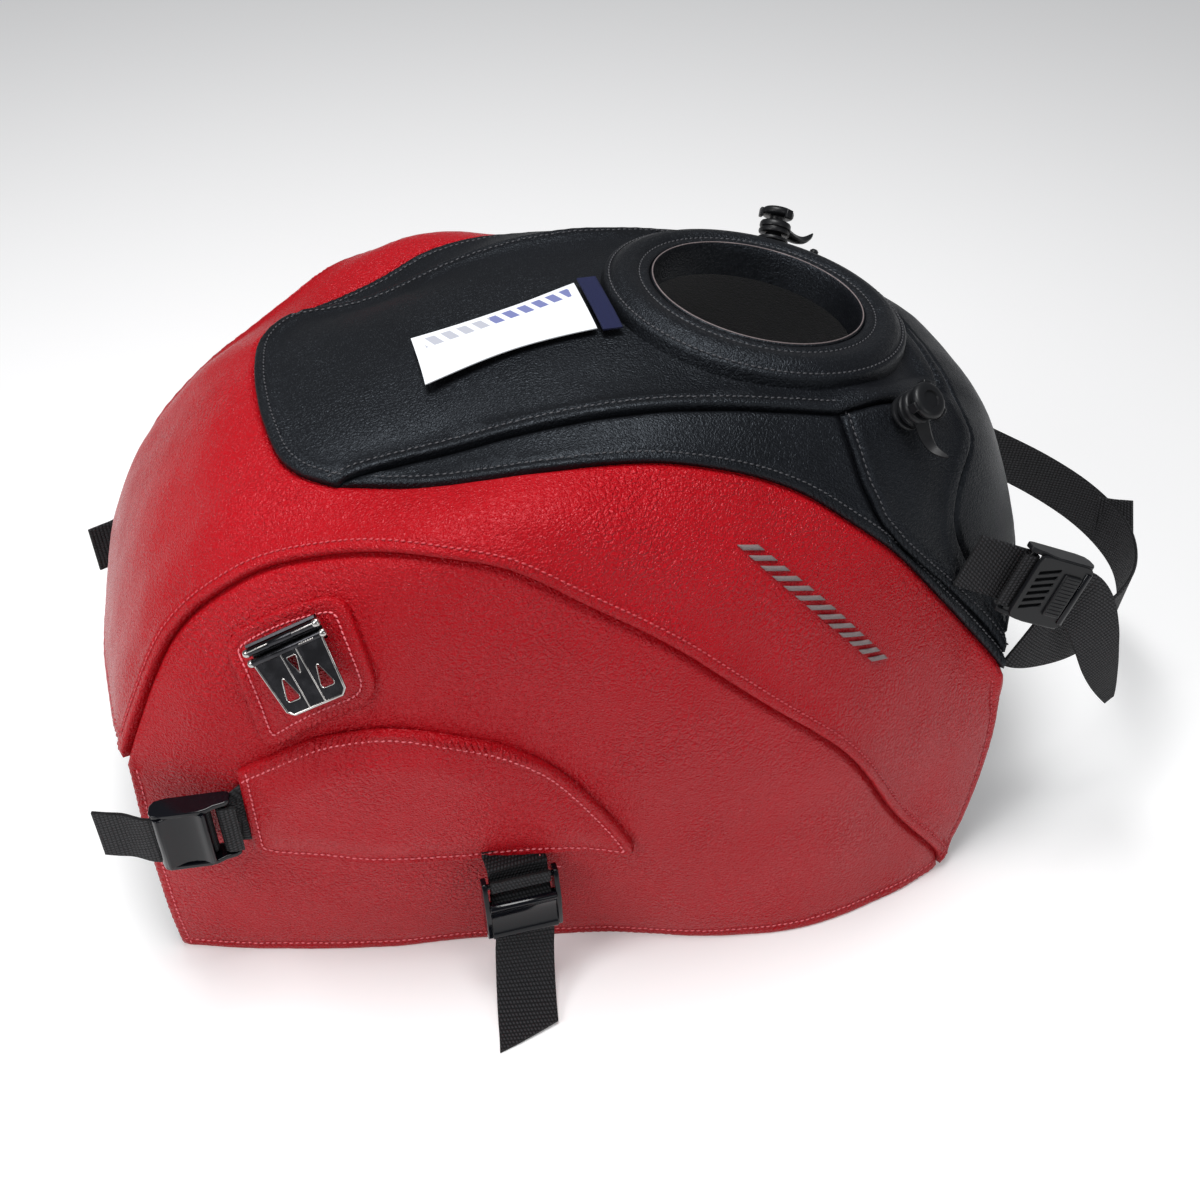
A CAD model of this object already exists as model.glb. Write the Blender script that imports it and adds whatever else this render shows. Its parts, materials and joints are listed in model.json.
"""Looks of a sewn motorcycle tank cover: leatherette panels, webbing, buckles, catches and hooks.

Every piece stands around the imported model, in its frame: +X is the front of the motorcycle, +Y its left,
+Z up. One smooth form carries all the sewn panels, so seams, stitches and patches are placed by two
numbers: t runs from the rear hem (0) to the front edge (1), and s from the centre line (0) down to the
hem on the right (1) or on the left (-1). Lengths are in millimetres until a mesh is made.
"""

from __future__ import annotations

import json
import logging
import math
from dataclasses import dataclass, field
from enum import Enum
from typing import Any, Sequence

import bmesh
import bpy
import numpy as np
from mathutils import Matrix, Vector
from mathutils.geometry import delaunay_2d_cdt


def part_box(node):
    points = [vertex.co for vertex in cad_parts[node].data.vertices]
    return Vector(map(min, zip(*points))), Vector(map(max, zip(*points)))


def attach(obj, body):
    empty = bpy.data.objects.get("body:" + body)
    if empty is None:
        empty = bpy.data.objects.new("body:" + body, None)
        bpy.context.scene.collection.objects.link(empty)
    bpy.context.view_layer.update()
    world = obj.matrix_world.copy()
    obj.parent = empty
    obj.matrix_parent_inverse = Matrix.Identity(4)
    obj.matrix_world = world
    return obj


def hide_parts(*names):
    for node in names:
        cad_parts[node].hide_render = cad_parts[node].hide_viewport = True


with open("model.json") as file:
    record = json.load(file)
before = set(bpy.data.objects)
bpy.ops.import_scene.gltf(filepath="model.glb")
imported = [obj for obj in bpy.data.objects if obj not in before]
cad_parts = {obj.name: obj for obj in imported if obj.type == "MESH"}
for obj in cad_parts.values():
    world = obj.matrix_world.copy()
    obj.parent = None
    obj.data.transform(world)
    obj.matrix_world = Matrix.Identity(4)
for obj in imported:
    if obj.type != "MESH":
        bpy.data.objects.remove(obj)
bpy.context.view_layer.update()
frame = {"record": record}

MM = 0.001
COVER = "cover"
JOINTS = {joint["name"]: joint for joint in frame["record"]["behaviour"]["joints"]}
LOG = logging.getLogger("tank_cover")
Array = np.ndarray
Object = bpy.types.Object
Material = bpy.types.Material

# -----------------------------------------------------------------------------
# The cover's form: stations from the rear hem to the front edge, each with seven points from the
# centre line over the crown and the shoulder down to the hem
# -----------------------------------------------------------------------------
ORIGIN_X = 15.6
HEM_LIFT = 0.12
SPAN_S = (0.0, 0.2, 0.4, 0.5, 0.62, 0.8, 1.0)
STATIONS = (
    (0.00, ((-266, 0, 130), (-265, 40, 130), (-262, 74, 131), (-258, 90, 131),
            (-258, 97, 95), (-257, 100, 45), (-254, 101, 0))),
    (0.08, ((-245, 0, 191), (-243, 40, 191), (-236, 75, 189), (-226, 95, 183),
            (-225, 108, 155), (-224, 114, 80), (-222, 112, 0))),
    (0.18, ((-206, 0, 240), (-204, 42, 238), (-199, 78, 231), (-190, 102, 219),
            (-187, 119, 190), (-186, 126, 95), (-186, 122, 0))),
    (0.30, ((-166, 0, 262), (-162, 42, 262), (-153, 80, 257), (-149, 112, 245),
            (-148, 132, 208), (-146, 137, 100), (-144, 132, 0))),
    (0.42, ((-100, 0, 276), (-101, 46, 273), (-104, 88, 264), (-107, 128, 262),
            (-105, 147, 215), (-100, 147, 100), (-95, 138, 0))),
    (0.54, ((-40, 0, 286), (-42, 52, 284), (-47, 102, 276), (-52, 138, 266),
            (-56, 157, 215), (-50, 158, 100), (-35, 152, 0))),
    (0.64, ((10, 0, 288), (10, 58, 284), (6, 108, 273), (4, 144, 240),
            (2, 165, 180), (2, 169, 80), (10, 166, 0))),
    (0.76, ((80, 0, 276), (80, 62, 275), (80, 106, 256), (80, 138, 210),
            (80, 160, 150), (78, 170, 65), (68, 175, 0))),
    (0.86, ((142, 0, 260), (140, 54, 259), (134, 100, 240), (130, 128, 190),
            (128, 148, 130), (124, 158, 60), (117, 167, 0))),
    (0.93, ((192, 0, 232), (188, 50, 229), (174, 98, 202), (160, 126, 156),
            (158, 140, 110), (154, 150, 50), (138, 160, 0))),
    (1.00, ((222, 0, 165), (217, 45, 163), (202, 90, 150), (180, 132, 128),
            (182, 134, 95), (174, 141, 42), (150, 155, 0))),
)
NET_T = np.array([t for t, _ in STATIONS])
NET = np.array([row for _, row in STATIONS], float)
NET_S = np.array((-SPAN_S[1],) + SPAN_S)
FLAT = np.array((560.0, 310.0))      # millimetres for one unit of t and one of s, for spacing only
FILLER_X = 80.0 - ORIGIN_X           # the filler opening's centre
GROUND_GAP = 0.05                    # the least height of a panel's points above the ground
EDGE_ROWS = (0.45, 1.1, 2.0, 3.6, 5.0, 6.6, 9.0)     # distances of the extra rows of points from an edge
FOLD_REACH = (6.0, 10.5)             # a folded edge keeps its height to the first and is flat by the second
TUCK_REACH = (0.0, 3.6)              # the same for an edge that is tucked below its neighbour


class Side(Enum):
    """A side of the motorcycle."""

    RIGHT = "right"
    LEFT = "left"

    @property
    def sign(self) -> int:
        """1 on the right, where y is negative, and -1 on the left."""
        return 1 if self is Side.RIGHT else -1

    def turn(self, vector: Sequence[float]) -> Array:
        """A right-hand vector on this side."""
        return np.array((vector[0], vector[1] * self.sign, vector[2]), float)

    def flip(self, line: Array) -> Array:
        """A right-hand (t, s) line on this side."""
        return np.asarray(line, float) * (1.0, self.sign)


# -----------------------------------------------------------------------------
# Curves and the surface
# -----------------------------------------------------------------------------
def slopes(points: Array, knots: Array) -> Array:
    """Tangents of a smooth curve through points, along their first axis."""
    lone = (-1,) + (1,) * (points.ndim - 1)
    steps = np.diff(knots).reshape(lone)
    rates = np.diff(points, axis=0) / steps
    inner = (rates[:-1] * steps[1:] + rates[1:] * steps[:-1]) / (steps[:-1] + steps[1:])
    return np.concatenate([[2 * rates[0] - inner[0]], inner, [2 * rates[-1] - inner[-1]]])


def through(points: Array, knots: Array, at: Array, paired: bool = False) -> Array:
    """Reads smooth curves through points.

    Args:
        points: the curve's points along the first axis.
        knots: the parameter of each point.
        at: parameters to read.
        paired: whether the second axis holds one curve for each parameter.

    Returns:
        One value for each parameter.
    """
    tangents = slopes(points, knots)
    low = np.clip(np.searchsorted(knots, at, side="right") - 1, 0, len(knots) - 2)
    pick = (low, np.arange(len(at))) if paired else (low,)
    after = (low + 1,) + pick[1:]
    first, last = points[pick], points[after]
    lone = (-1,) + (1,) * (first.ndim - 1)
    step = (knots[low + 1] - knots[low]).reshape(lone)
    u = (at - knots[low]).reshape(lone) / step
    return ((2 * u**3 - 3 * u**2 + 1) * first + (u**3 - 2 * u**2 + u) * step * tangents[pick]
            + (3 * u**2 - 2 * u**3) * last + (u**3 - u**2) * step * tangents[after])


def unit(vectors: Array) -> Array:
    """Vectors of length one."""
    return vectors / np.maximum(np.linalg.norm(vectors, axis=-1, keepdims=True), 1e-9)


def step_between(low: float, high: float, value: Array) -> Array:
    """0 below low, 1 above high and smooth between them."""
    u = np.clip((value - low) / (high - low), 0, 1)
    return u * u * (3 - 2 * u)


def point(ts: Array) -> Array:
    """Points of the outer surface, in millimetres, at (t, s) rows."""
    t, s = np.clip(ts[:, 0], 0, 1), ts[:, 1]
    rows = through(NET, NET_T, t)
    rows = np.concatenate([rows[:, 1:2] * (1, -1, 1), rows], axis=1).transpose(1, 0, 2)
    found = through(rows, NET_S, np.clip(np.abs(s), 0, 1), paired=True)
    found[:, 1] *= np.where(s > 0, -1, 1)
    return found + (-ORIGIN_X, 0, HEM_LIFT)


def partials(ts: Array) -> tuple[Array, Array]:
    """Change of the surface point for one unit of t and one of s."""
    step = 0.004
    out = []
    for axis in (0, 1):
        low, high = ts.copy(), ts.copy()
        low[:, axis] = np.maximum(low[:, axis] - step, 0 if axis == 0 else -1)
        high[:, axis] = np.minimum(high[:, axis] + step, 1)
        out.append((point(high) - point(low)) / (high - low)[:, axis:axis + 1])
    return out[0], out[1]


def normal(ts: Array) -> Array:
    """Outward normals of the surface."""
    along, across = partials(ts)
    return unit(np.cross(across, along))


def raised(ts: Array, lift: Array | float) -> Array:
    """Points at a height above the surface."""
    height = np.broadcast_to(lift, (len(ts),))
    return point(ts) + normal(ts) * height[:, None]


def moved(ts: Array, move: Array) -> Array:
    """(t, s) rows moved along the surface by vectors in millimetres."""
    along, across = partials(ts)
    a, b, c = (along * along).sum(1), (along * across).sum(1), (across * across).sum(1)
    p, q = (along * move).sum(1), (across * move).sum(1)
    size = a * c - b * b
    out = ts + np.column_stack([(c * p - b * q) / size, (a * q - b * p) / size])
    return np.clip(out, (0, -1), (1, 1))


def resample(line: Array, pitch: float) -> Array:
    """A (t, s) line at an even pitch on the surface, with its ends kept."""
    run = np.concatenate([[0], np.cumsum(np.linalg.norm(np.diff(point(line), axis=0), axis=1))])
    count = max(1, round(run[-1] / pitch))
    stops = np.linspace(0, run[-1], count + 1)
    return np.column_stack([np.interp(stops, run, line[:, k]) for k in (0, 1)])


def beside(line: Array, distance: float, toward: Sequence[float]) -> Array:
    """A (t, s) line moved sideways on the surface, to the side that a (t, s) spot lies on."""
    ends = np.vstack([2 * line[:1] - line[1:2], line, 2 * line[-1:] - line[-2:-1]])
    ends = np.clip(ends, (0, -1), (1, 1))
    tangent = unit(point(ends[2:]) - point(ends[:-2]))
    side = np.cross(normal(line), tangent)
    middle = len(line) // 2
    aim = point(np.array([toward], float))[0] - point(line[middle:middle + 1])[0]
    sign = 1.0 if aim @ side[middle] > 0 else -1.0
    return moved(line, side * sign * distance)


def away(points: Array, line: Array) -> tuple[Array, Array]:
    """Distance of points from a line in space, and how far along it the nearest spot is."""
    first, last = line[:-1], line[1:]
    along = last - first
    size = np.maximum((along**2).sum(1), 1e-9)
    run = np.concatenate([[0], np.cumsum(np.sqrt(size))])
    distance, place = np.empty(len(points)), np.empty(len(points))
    for k in range(0, len(points), 3000):
        part = points[k:k + 3000, None]
        share = np.clip(((part - first) * along).sum(2) / size, 0, 1)
        gap = np.linalg.norm(part - first - along * share[..., None], axis=2)
        best = gap.argmin(1)
        rows = np.arange(len(best))
        distance[k:k + 3000] = gap[rows, best]
        place[k:k + 3000] = run[best] + share[rows, best] * np.sqrt(size[best])
    return distance, place


def inside(spots: Array, polygon: Array) -> Array:
    """Whether each spot lies in a polygon."""
    x, y = spots[:, 0], spots[:, 1]
    hit = np.zeros(len(spots), bool)
    for (x1, y1), (x2, y2) in zip(polygon, np.roll(polygon, -1, axis=0)):
        if y1 != y2:
            hit ^= ((y1 > y) != (y2 > y)) & (x < (x2 - x1) * (y - y1) / (y2 - y1) + x1)
    return hit


def within(spots: Array, outline: Array, holes: Sequence[Array]) -> Array:
    """Whether each spot lies in an outline and outside its holes."""
    keep = inside(spots, outline)
    for hole in holes:
        keep &= ~inside(spots, hole)
    return keep


def ripple(points: Array) -> Array:
    """Slow waves of hand-fitted leatherette, from -1 to 1, by place in space."""
    waves = ((78, (0.7, 0.5, 0.5), 0.3), (61, (-0.5, 0.8, 0.3), 1.9), (47, (0.3, -0.4, 0.86), 4.1),
             (33, (0.9, 0.2, -0.4), 2.6), (25, (0.2, 0.9, 0.4), 5.3), (17, (0.6, -0.6, 0.5), 0.9))
    total = np.zeros(len(points))
    for length, heading, phase in waves:
        bend = 0.8 * np.sin(points @ np.array(heading)[::-1] / (1.7 * length) + 2 * phase)
        total += length / 78 * np.sin(points @ np.array(heading) * math.tau / length + phase + bend)
    return total / 2.2


@dataclass(frozen=True)
class Seam:
    """A seam given as s at a few values of t."""

    knots: tuple[tuple[float, float], ...]

    def s(self, t: float) -> float:
        """s of the seam at t."""
        table = np.array(self.knots)
        return float(through(table[:, 1], table[:, 0], np.array([t]))[0])

    def line(self, start: float, end: float) -> Array:
        """(t, s) rows of the seam from one t to another."""
        table = np.array(self.knots)
        t = np.linspace(start, end, max(2, round(abs(end - start) * 160)))
        return np.column_stack([t, through(table[:, 1], table[:, 0], t)])


def free_curve(chain: Sequence[tuple[float, float]]) -> Array:
    """(t, s) rows of a smooth line through the given ones."""
    table = np.array(chain)
    knots = np.arange(len(table), dtype=float)
    return through(table, knots, np.linspace(0, knots[-1], len(table) * 12))


def straight(*corners: tuple[float, float]) -> Array:
    """(t, s) rows of straight runs between corners."""
    table = np.array(corners, float)
    rows = [table[:1]]
    for low, high in zip(table, table[1:]):
        count = max(2, int(np.linalg.norm((high - low) * FLAT) / 5))
        rows.append(low + (high - low) * np.linspace(0, 1, count + 1)[1:, None])
    return np.vstack(rows)


ARCH = Seam(((0.0, 0.498), (0.09, 0.448), (0.19, 0.457), (0.30, 0.490), (0.41, 0.522), (0.48, 0.547),
             (0.54, 0.574), (0.64, 0.592), (0.70, 0.632), (0.77, 0.692), (0.85, 0.816), (1.0, 0.985)))
COLOUR = Seam(((0.33, 0.389), (0.40, 0.407), (0.49, 0.422), (0.64, 0.415), (0.72, 0.431),
               (0.80, 0.473), (0.86, 0.506), (0.93, 0.515), (1.0, 0.515)))
TONGUE = Seam(((0.33, 0.389), (0.40, 0.357), (0.47, 0.346), (0.53, 0.339), (0.64, 0.331), (0.78, 0.339)))
SHOULDER = Seam(((0.78, 0.339), (0.785, 0.400), (0.795, 0.440), (0.818, 0.472), (0.845, 0.489),
                 (0.885, 0.496), (0.93, 0.494), (1.0, 0.490)))
TAIL = ((0.33, 0.389), (0.303, 0.350), (0.293, 0.289), (0.292, 0.200), (0.293, 0.130), (0.295, 0.0))
NOSE = ((0.893, 0.0), (0.895, 0.15), (0.900, 0.28), (0.904, 0.339), (0.890, 0.420), (0.893, 0.448),
        (0.916, 0.464), (0.945, 0.474), (1.0, 0.474))
SHOULDER_TOP = ((0.78, 0.339), (0.781, 0.370), (0.785, 0.400), (0.789, 0.425), (0.795, 0.440))
SEAT_FRONT = 0.885
SEAT_EDGE = ((0.78, 0.339), (0.84, 0.31), (SEAT_FRONT, 0.22), (SEAT_FRONT, 0.0))


# -----------------------------------------------------------------------------
# Shader trees
# -----------------------------------------------------------------------------
class Value:
    """A number socket with arithmetic: every operator adds the Math node that works it out."""

    def __init__(self, tree: "Tree", socket: Any) -> None:
        """Keeps the tree and the socket."""
        self.tree = tree
        self.socket = socket

    def math(self, operation: str, *others: Any) -> "Value":
        """A Math node on this value and others."""
        inputs = dict(enumerate((self,) + others))
        made = self.tree.node("ShaderNodeMath", {"operation": operation}, inputs)
        return Value(self.tree, made.outputs[0])

    def __add__(self, other: Any) -> "Value":
        """Sum."""
        return self.math("ADD", other)

    def __sub__(self, other: Any) -> "Value":
        """Difference."""
        return self.math("SUBTRACT", other)

    def __rsub__(self, other: float) -> "Value":
        """A number less this value."""
        made = self.tree.node("ShaderNodeMath", {"operation": "SUBTRACT"}, {0: other, 1: self})
        return Value(self.tree, made.outputs[0])

    def __mul__(self, other: Any) -> "Value":
        """Product."""
        return self.math("MULTIPLY", other)

    def __truediv__(self, other: Any) -> "Value":
        """Quotient."""
        return self.math("DIVIDE", other)

    def __pow__(self, other: float) -> "Value":
        """Power."""
        return self.math("POWER", other)

    __radd__ = __add__
    __rmul__ = __mul__

    def ramp(self, low: float, high: float) -> "Value":
        """0 below low, 1 above high, smooth between."""
        made = self.tree.node("ShaderNodeMapRange", {"interpolation_type": "SMOOTHSTEP"},
                              {"Value": self, "From Min": low, "From Max": high})
        return Value(self.tree, made.outputs[0])


class Tree:
    """A material's node tree around its Principled shader."""

    def __init__(self, name: str) -> None:
        """Makes the material."""
        self.material = bpy.data.materials.new(name)
        self.material.use_nodes = True
        self.tree = self.material.node_tree
        self.shader = self.tree.nodes["Principled BSDF"]

    def node(self, kind: str, settings: dict[str, Any] | None = None,
             inputs: dict[Any, Any] | None = None) -> Any:
        """Adds a node.

        Args:
            kind: the node's type.
            settings: its properties, set before its sockets.
            inputs: values or links by socket name or index.

        Returns:
            The node.
        """
        made = self.tree.nodes.new(kind)
        for key, value in (settings or {}).items():
            setattr(made, key, value)
        for key, value in (inputs or {}).items():
            self.feed(made.inputs[key], value)
        return made

    def feed(self, socket: Any, value: Any) -> None:
        """Links or sets a socket."""
        source = value.socket if isinstance(value, Value) else value
        if isinstance(source, bpy.types.NodeSocket):
            self.tree.links.new(source, socket)
        else:
            socket.default_value = source

    def value(self, socket: Any) -> Value:
        """A socket as a value."""
        return Value(self, socket)

    def place(self) -> Any:
        """The piece's own coordinates."""
        return self.node("ShaderNodeTexCoord").outputs["Object"]

    def noise(self, vector: Any, scale: float, detail: float = 2.0) -> Value:
        """Noise at a scale."""
        return self.value(self.node("ShaderNodeTexNoise", None,
                                    {"Vector": vector, "Scale": scale, "Detail": detail}).outputs["Fac"])

    def warped(self, vector: Any, scale: float, amount: float) -> Any:
        """Coordinates pushed about by noise."""
        noise = self.node("ShaderNodeTexNoise", None, {"Vector": vector, "Scale": scale, "Detail": 2.0})
        centred = self.node("ShaderNodeVectorMath", {"operation": "SUBTRACT"},
                            {0: noise.outputs["Color"], 1: (0.5, 0.5, 0.5)}).outputs[0]
        push = self.node("ShaderNodeVectorMath", {"operation": "SCALE"},
                         {0: centred, "Scale": amount}).outputs[0]
        return self.node("ShaderNodeVectorMath", {"operation": "ADD"}, {0: vector, 1: push}).outputs[0]

    def cells(self, vector: Any, scale: float) -> Value:
        """Distance to the edges of random cells, 0 on an edge."""
        return self.value(self.node("ShaderNodeTexVoronoi", {"feature": "DISTANCE_TO_EDGE"},
                                    {"Vector": vector, "Scale": scale}).outputs["Distance"])

    def mix(self, factor: Any, low: Any, high: Any) -> Any:
        """A colour between two."""
        made = self.node("ShaderNodeMix", {"data_type": "RGBA"}, {0: factor, 6: low, 7: high})
        return made.outputs[2]

    def bump(self, height: Any, distance: float, strength: float = 1.0) -> None:
        """Sends a height to the shader's normal."""
        made = self.node("ShaderNodeBump", None,
                         {"Height": height, "Distance": distance, "Strength": strength})
        self.tree.links.new(made.outputs[0], self.shader.inputs["Normal"])

    def surface(self, **values: Any) -> None:
        """Sets the shader's sockets, by name with _ for a space."""
        for key, value in values.items():
            self.feed(self.shader.inputs[key.replace("_", " ")], value)


def rgba(colour: Sequence[float]) -> tuple[float, float, float, float]:
    """A colour with full alpha."""
    return (colour[0], colour[1], colour[2], 1.0)


@dataclass(frozen=True)
class Leather:
    """Pebble-grain leatherette."""

    name: str
    colour: tuple[float, float, float]
    deep: tuple[float, float, float]
    roughness: float
    grain: float
    relief: float
    shine: float
    tint: tuple[float, float, float] = (0.78, 0.88, 1.0)

    def make(self) -> Material:
        """Builds the material."""
        tree = Tree(self.name)
        place = tree.place()
        bent = tree.warped(place, 95.0, 0.0048)
        creases = tree.cells(bent, self.grain).ramp(0.0, 0.30)
        pebbles = tree.cells(tree.warped(place, 380.0, 0.0020), self.grain * 2.1).ramp(0.0, 0.42)
        depth = tree.noise(place, 24.0, 3.0).ramp(0.38, 0.68) * 0.75 + 0.25
        height = creases * depth * 0.52 + pebbles * 0.34 + tree.noise(place, 1100.0, 3.0) * 0.30
        tone = (creases * depth * 0.18 + pebbles * 0.12 + tree.noise(place, 9.0, 3.0) * 0.9).ramp(0.25, 0.95)
        colour = tree.mix(tone, rgba(self.deep), rgba(self.colour))
        rough = self.roughness + (1 - pebbles) * 0.08 + (tree.noise(place, 38.0, 3.0) - 0.5) * 0.14
        tree.surface(Base_Color=colour, Roughness=rough, Specular_IOR_Level=self.shine,
                     Specular_Tint=rgba(self.tint))
        tree.bump(height, self.relief)
        return tree.material


@dataclass(frozen=True)
class Webbing:
    """Coarse woven strap, patterned along its own uv map in metres."""

    name: str
    colour: tuple[float, float, float]
    light: tuple[float, float, float]
    across: float = 0.00175
    along: float = 0.0021

    def make(self) -> Material:
        """Builds the material."""
        tree = Tree(self.name)
        uv = tree.node("ShaderNodeUVMap", {"uv_map": "weave"}).outputs[0]
        parts = tree.node("ShaderNodeSeparateXYZ", None, {0: uv}).outputs
        row = tree.value(parts[1]) / self.along
        shift = row.math("FLOOR").math("MODULO", 2.0) * 0.5
        column = tree.value(parts[0]) / self.across + row.math("FRACT") * 0.35 + shift
        bead = (column.math("FRACT") * math.pi).math("SINE") * (row.math("FRACT") * math.pi).math("SINE")
        fibre = tree.noise(tree.place(), 2600.0, 2.0)
        height = bead ** 0.6 + fibre * 0.25
        colour = tree.mix(bead * (0.5 + fibre), rgba(self.colour), rgba(self.light))
        tree.surface(Base_Color=colour, Roughness=0.62 + fibre * 0.2, Specular_IOR_Level=0.35)
        tree.bump(height, 0.0007)
        return tree.material


@dataclass(frozen=True)
class Thread:
    """Sewing thread, twisted along each stitch."""

    name: str
    colour: tuple[float, float, float]
    light: tuple[float, float, float]

    def make(self) -> Material:
        """Builds the material."""
        tree = Tree(self.name)
        twist = tree.noise(tree.place(), 2200.0, 2.0)
        tree.surface(Base_Color=tree.mix(twist, rgba(self.colour), rgba(self.light)), Roughness=0.5)
        tree.bump(twist, 0.0002)
        return tree.material


@dataclass(frozen=True)
class Moulding:
    """Moulded plastic with a faint texture and soft handling marks."""

    name: str
    colour: tuple[float, float, float]
    roughness: float
    marks: float = 0.1

    def make(self) -> Material:
        """Builds the material."""
        tree = Tree(self.name)
        place = tree.place()
        cloud = tree.noise(place, 90.0, 4.0)
        fine = tree.noise(place, 1800.0, 2.0)
        deep = tuple(0.6 * c for c in self.colour)
        tree.surface(Base_Color=tree.mix(cloud, rgba(deep), rgba(self.colour)),
                     Roughness=self.roughness + cloud * self.marks, Specular_IOR_Level=0.3)
        tree.bump(fine * 0.3 + cloud, 0.0001, 0.5)
        return tree.material


@dataclass(frozen=True)
class Plating:
    """Dark bright plating, with fine brush lines and wear."""

    name: str
    colour: tuple[float, float, float]
    roughness: float = 0.16

    def make(self) -> Material:
        """Builds the material."""
        tree = Tree(self.name)
        place = tree.place()
        brush = tree.node("ShaderNodeMapping", None,
                          {"Vector": place, "Scale": (900.0, 900.0, 60.0)}).outputs[0]
        lines = tree.noise(brush, 1.0, 3.0)
        smudge = tree.noise(place, 160.0, 3.0).ramp(0.35, 0.7)
        dull = tuple(0.7 * c for c in self.colour)
        tree.surface(Base_Color=tree.mix(smudge, rgba(dull), rgba(self.colour)), Metallic=1.0,
                     Roughness=self.roughness + smudge * 0.1 + lines * 0.08)
        tree.bump(lines, 0.00006, 0.4)
        return tree.material


@dataclass(frozen=True)
class Lining:
    """Dark brushed fleece on the inside."""

    name: str
    colour: tuple[float, float, float]

    def make(self) -> Material:
        """Builds the material."""
        tree = Tree(self.name)
        place = tree.place()
        fluff = tree.noise(tree.warped(place, 300.0, 0.004), 900.0, 4.0)
        pale = tuple(2.2 * c for c in self.colour)
        tree.surface(Base_Color=tree.mix(fluff, rgba(self.colour), rgba(pale)), Roughness=0.9 + fluff * 0.1,
                     Sheen_Weight=0.3)
        tree.bump(fluff, 0.0005)
        return tree.material


@dataclass(frozen=True)
class Card:
    """Blank coated card with a soft printed band of plain slanted bars along one edge."""

    name: str
    paper: tuple[float, float, float]
    blue: tuple[float, float, float]
    grey: tuple[float, float, float]

    def make(self) -> Material:
        """Builds the material."""
        tree = Tree(self.name)
        uv = tree.node("ShaderNodeUVMap", {"uv_map": "sheet"}).outputs[0]
        parts = tree.node("ShaderNodeSeparateXYZ", None, {0: uv}).outputs
        u, v = tree.value(parts[0]), tree.value(parts[1])
        slant = (u + v * 0.22) * 11.0
        bar = slant.math("FRACT").math("LESS_THAN", 0.62)
        band = v.math("GREATER_THAN", 0.74) * v.math("LESS_THAN", 0.93)
        ends = u.math("GREATER_THAN", 0.06) * u.math("LESS_THAN", 0.95)
        first = u.math("GREATER_THAN", 0.45)
        ink = tree.mix(first, rgba(self.grey), rgba(self.blue))
        fibre = tree.noise(tree.place(), 700.0, 3.0)
        paper = tree.mix(fibre * 0.3, rgba(self.paper), rgba(tuple(0.9 * c for c in self.paper)))
        tree.surface(Base_Color=tree.mix(bar * band * ends * 0.85, paper, ink), Roughness=0.5 + fibre * 0.1)
        tree.bump(fibre, 0.00005)
        return tree.material


@dataclass(frozen=True)
class Floor:
    """Plain pale studio floor."""

    name: str
    colour: tuple[float, float, float]

    def make(self) -> Material:
        """Builds the material."""
        tree = Tree(self.name)
        tree.surface(Base_Color=rgba(self.colour), Roughness=0.9, Specular_IOR_Level=0.1,
                     Emission_Color=(1.0, 1.0, 1.0, 1.0), Emission_Strength=0.2)
        return tree.material


@dataclass
class Wardrobe:
    """Every finish of the cover, made once."""

    red: Material = field(default_factory=lambda: Leather(
        "red_leatherette", (0.47, 0.0045, 0.011), (0.37, 0.0022, 0.006), roughness=0.25, grain=330.0,
        relief=0.0009, shine=0.42, tint=(1.0, 0.42, 0.48)).make())
    black: Material = field(default_factory=lambda: Leather(
        "black_leatherette", (0.0055, 0.0060, 0.0078), (0.0025, 0.0027, 0.0035), roughness=0.36, grain=420.0,
        relief=0.0004, shine=0.3).make())
    lining: Material = field(default_factory=lambda: Lining("dark_fleece", (0.008, 0.008, 0.009)).make())
    webbing: Material = field(default_factory=lambda: Webbing(
        "black_webbing", (0.0025, 0.0025, 0.003), (0.034, 0.034, 0.038)).make())
    gloss: Material = field(default_factory=lambda: Moulding(
        "gloss_buckle", (0.004, 0.0045, 0.007), 0.07).make())
    satin: Material = field(default_factory=lambda: Moulding(
        "satin_buckle", (0.009, 0.0095, 0.011), 0.3).make())
    hook: Material = field(default_factory=lambda: Moulding(
        "satin_hook", (0.009, 0.0095, 0.011), 0.34).make())
    steel: Material = field(default_factory=lambda: Plating("dark_plating", (0.05, 0.05, 0.055)).make())
    bright: Material = field(default_factory=lambda: Plating(
        "worn_edges", (0.62, 0.60, 0.58), 0.12).make())
    red_thread: Material = field(default_factory=lambda: Thread(
        "red_thread", (0.40, 0.014, 0.024), (0.70, 0.09, 0.11)).make())
    pale_thread: Material = field(default_factory=lambda: Thread(
        "pale_red_thread", (0.72, 0.07, 0.10), (0.95, 0.28, 0.31)).make())
    black_thread: Material = field(default_factory=lambda: Thread(
        "black_thread", (0.012, 0.012, 0.015), (0.09, 0.09, 0.10)).make())
    grey_thread: Material = field(default_factory=lambda: Thread(
        "grey_satin_thread", (0.09, 0.065, 0.065), (0.30, 0.25, 0.25)).make())
    card: Material = field(default_factory=lambda: Card(
        "blank_card", (0.78, 0.80, 0.83), (0.05, 0.07, 0.30), (0.35, 0.36, 0.42)).make())
    label: Material = field(default_factory=lambda: Webbing(
        "woven_label", (0.008, 0.010, 0.040), (0.03, 0.04, 0.16), across=0.0006, along=0.0009).make())
    floor: Material = field(default_factory=lambda: Floor("pale_floor", (0.9, 0.9, 0.9)).make())


# -----------------------------------------------------------------------------
# Meshes
# -----------------------------------------------------------------------------
def added(name: str, data: Any) -> Object:
    """A new object in the scene."""
    made = bpy.data.objects.new(name, data)
    bpy.context.scene.collection.objects.link(made)
    return made


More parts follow.
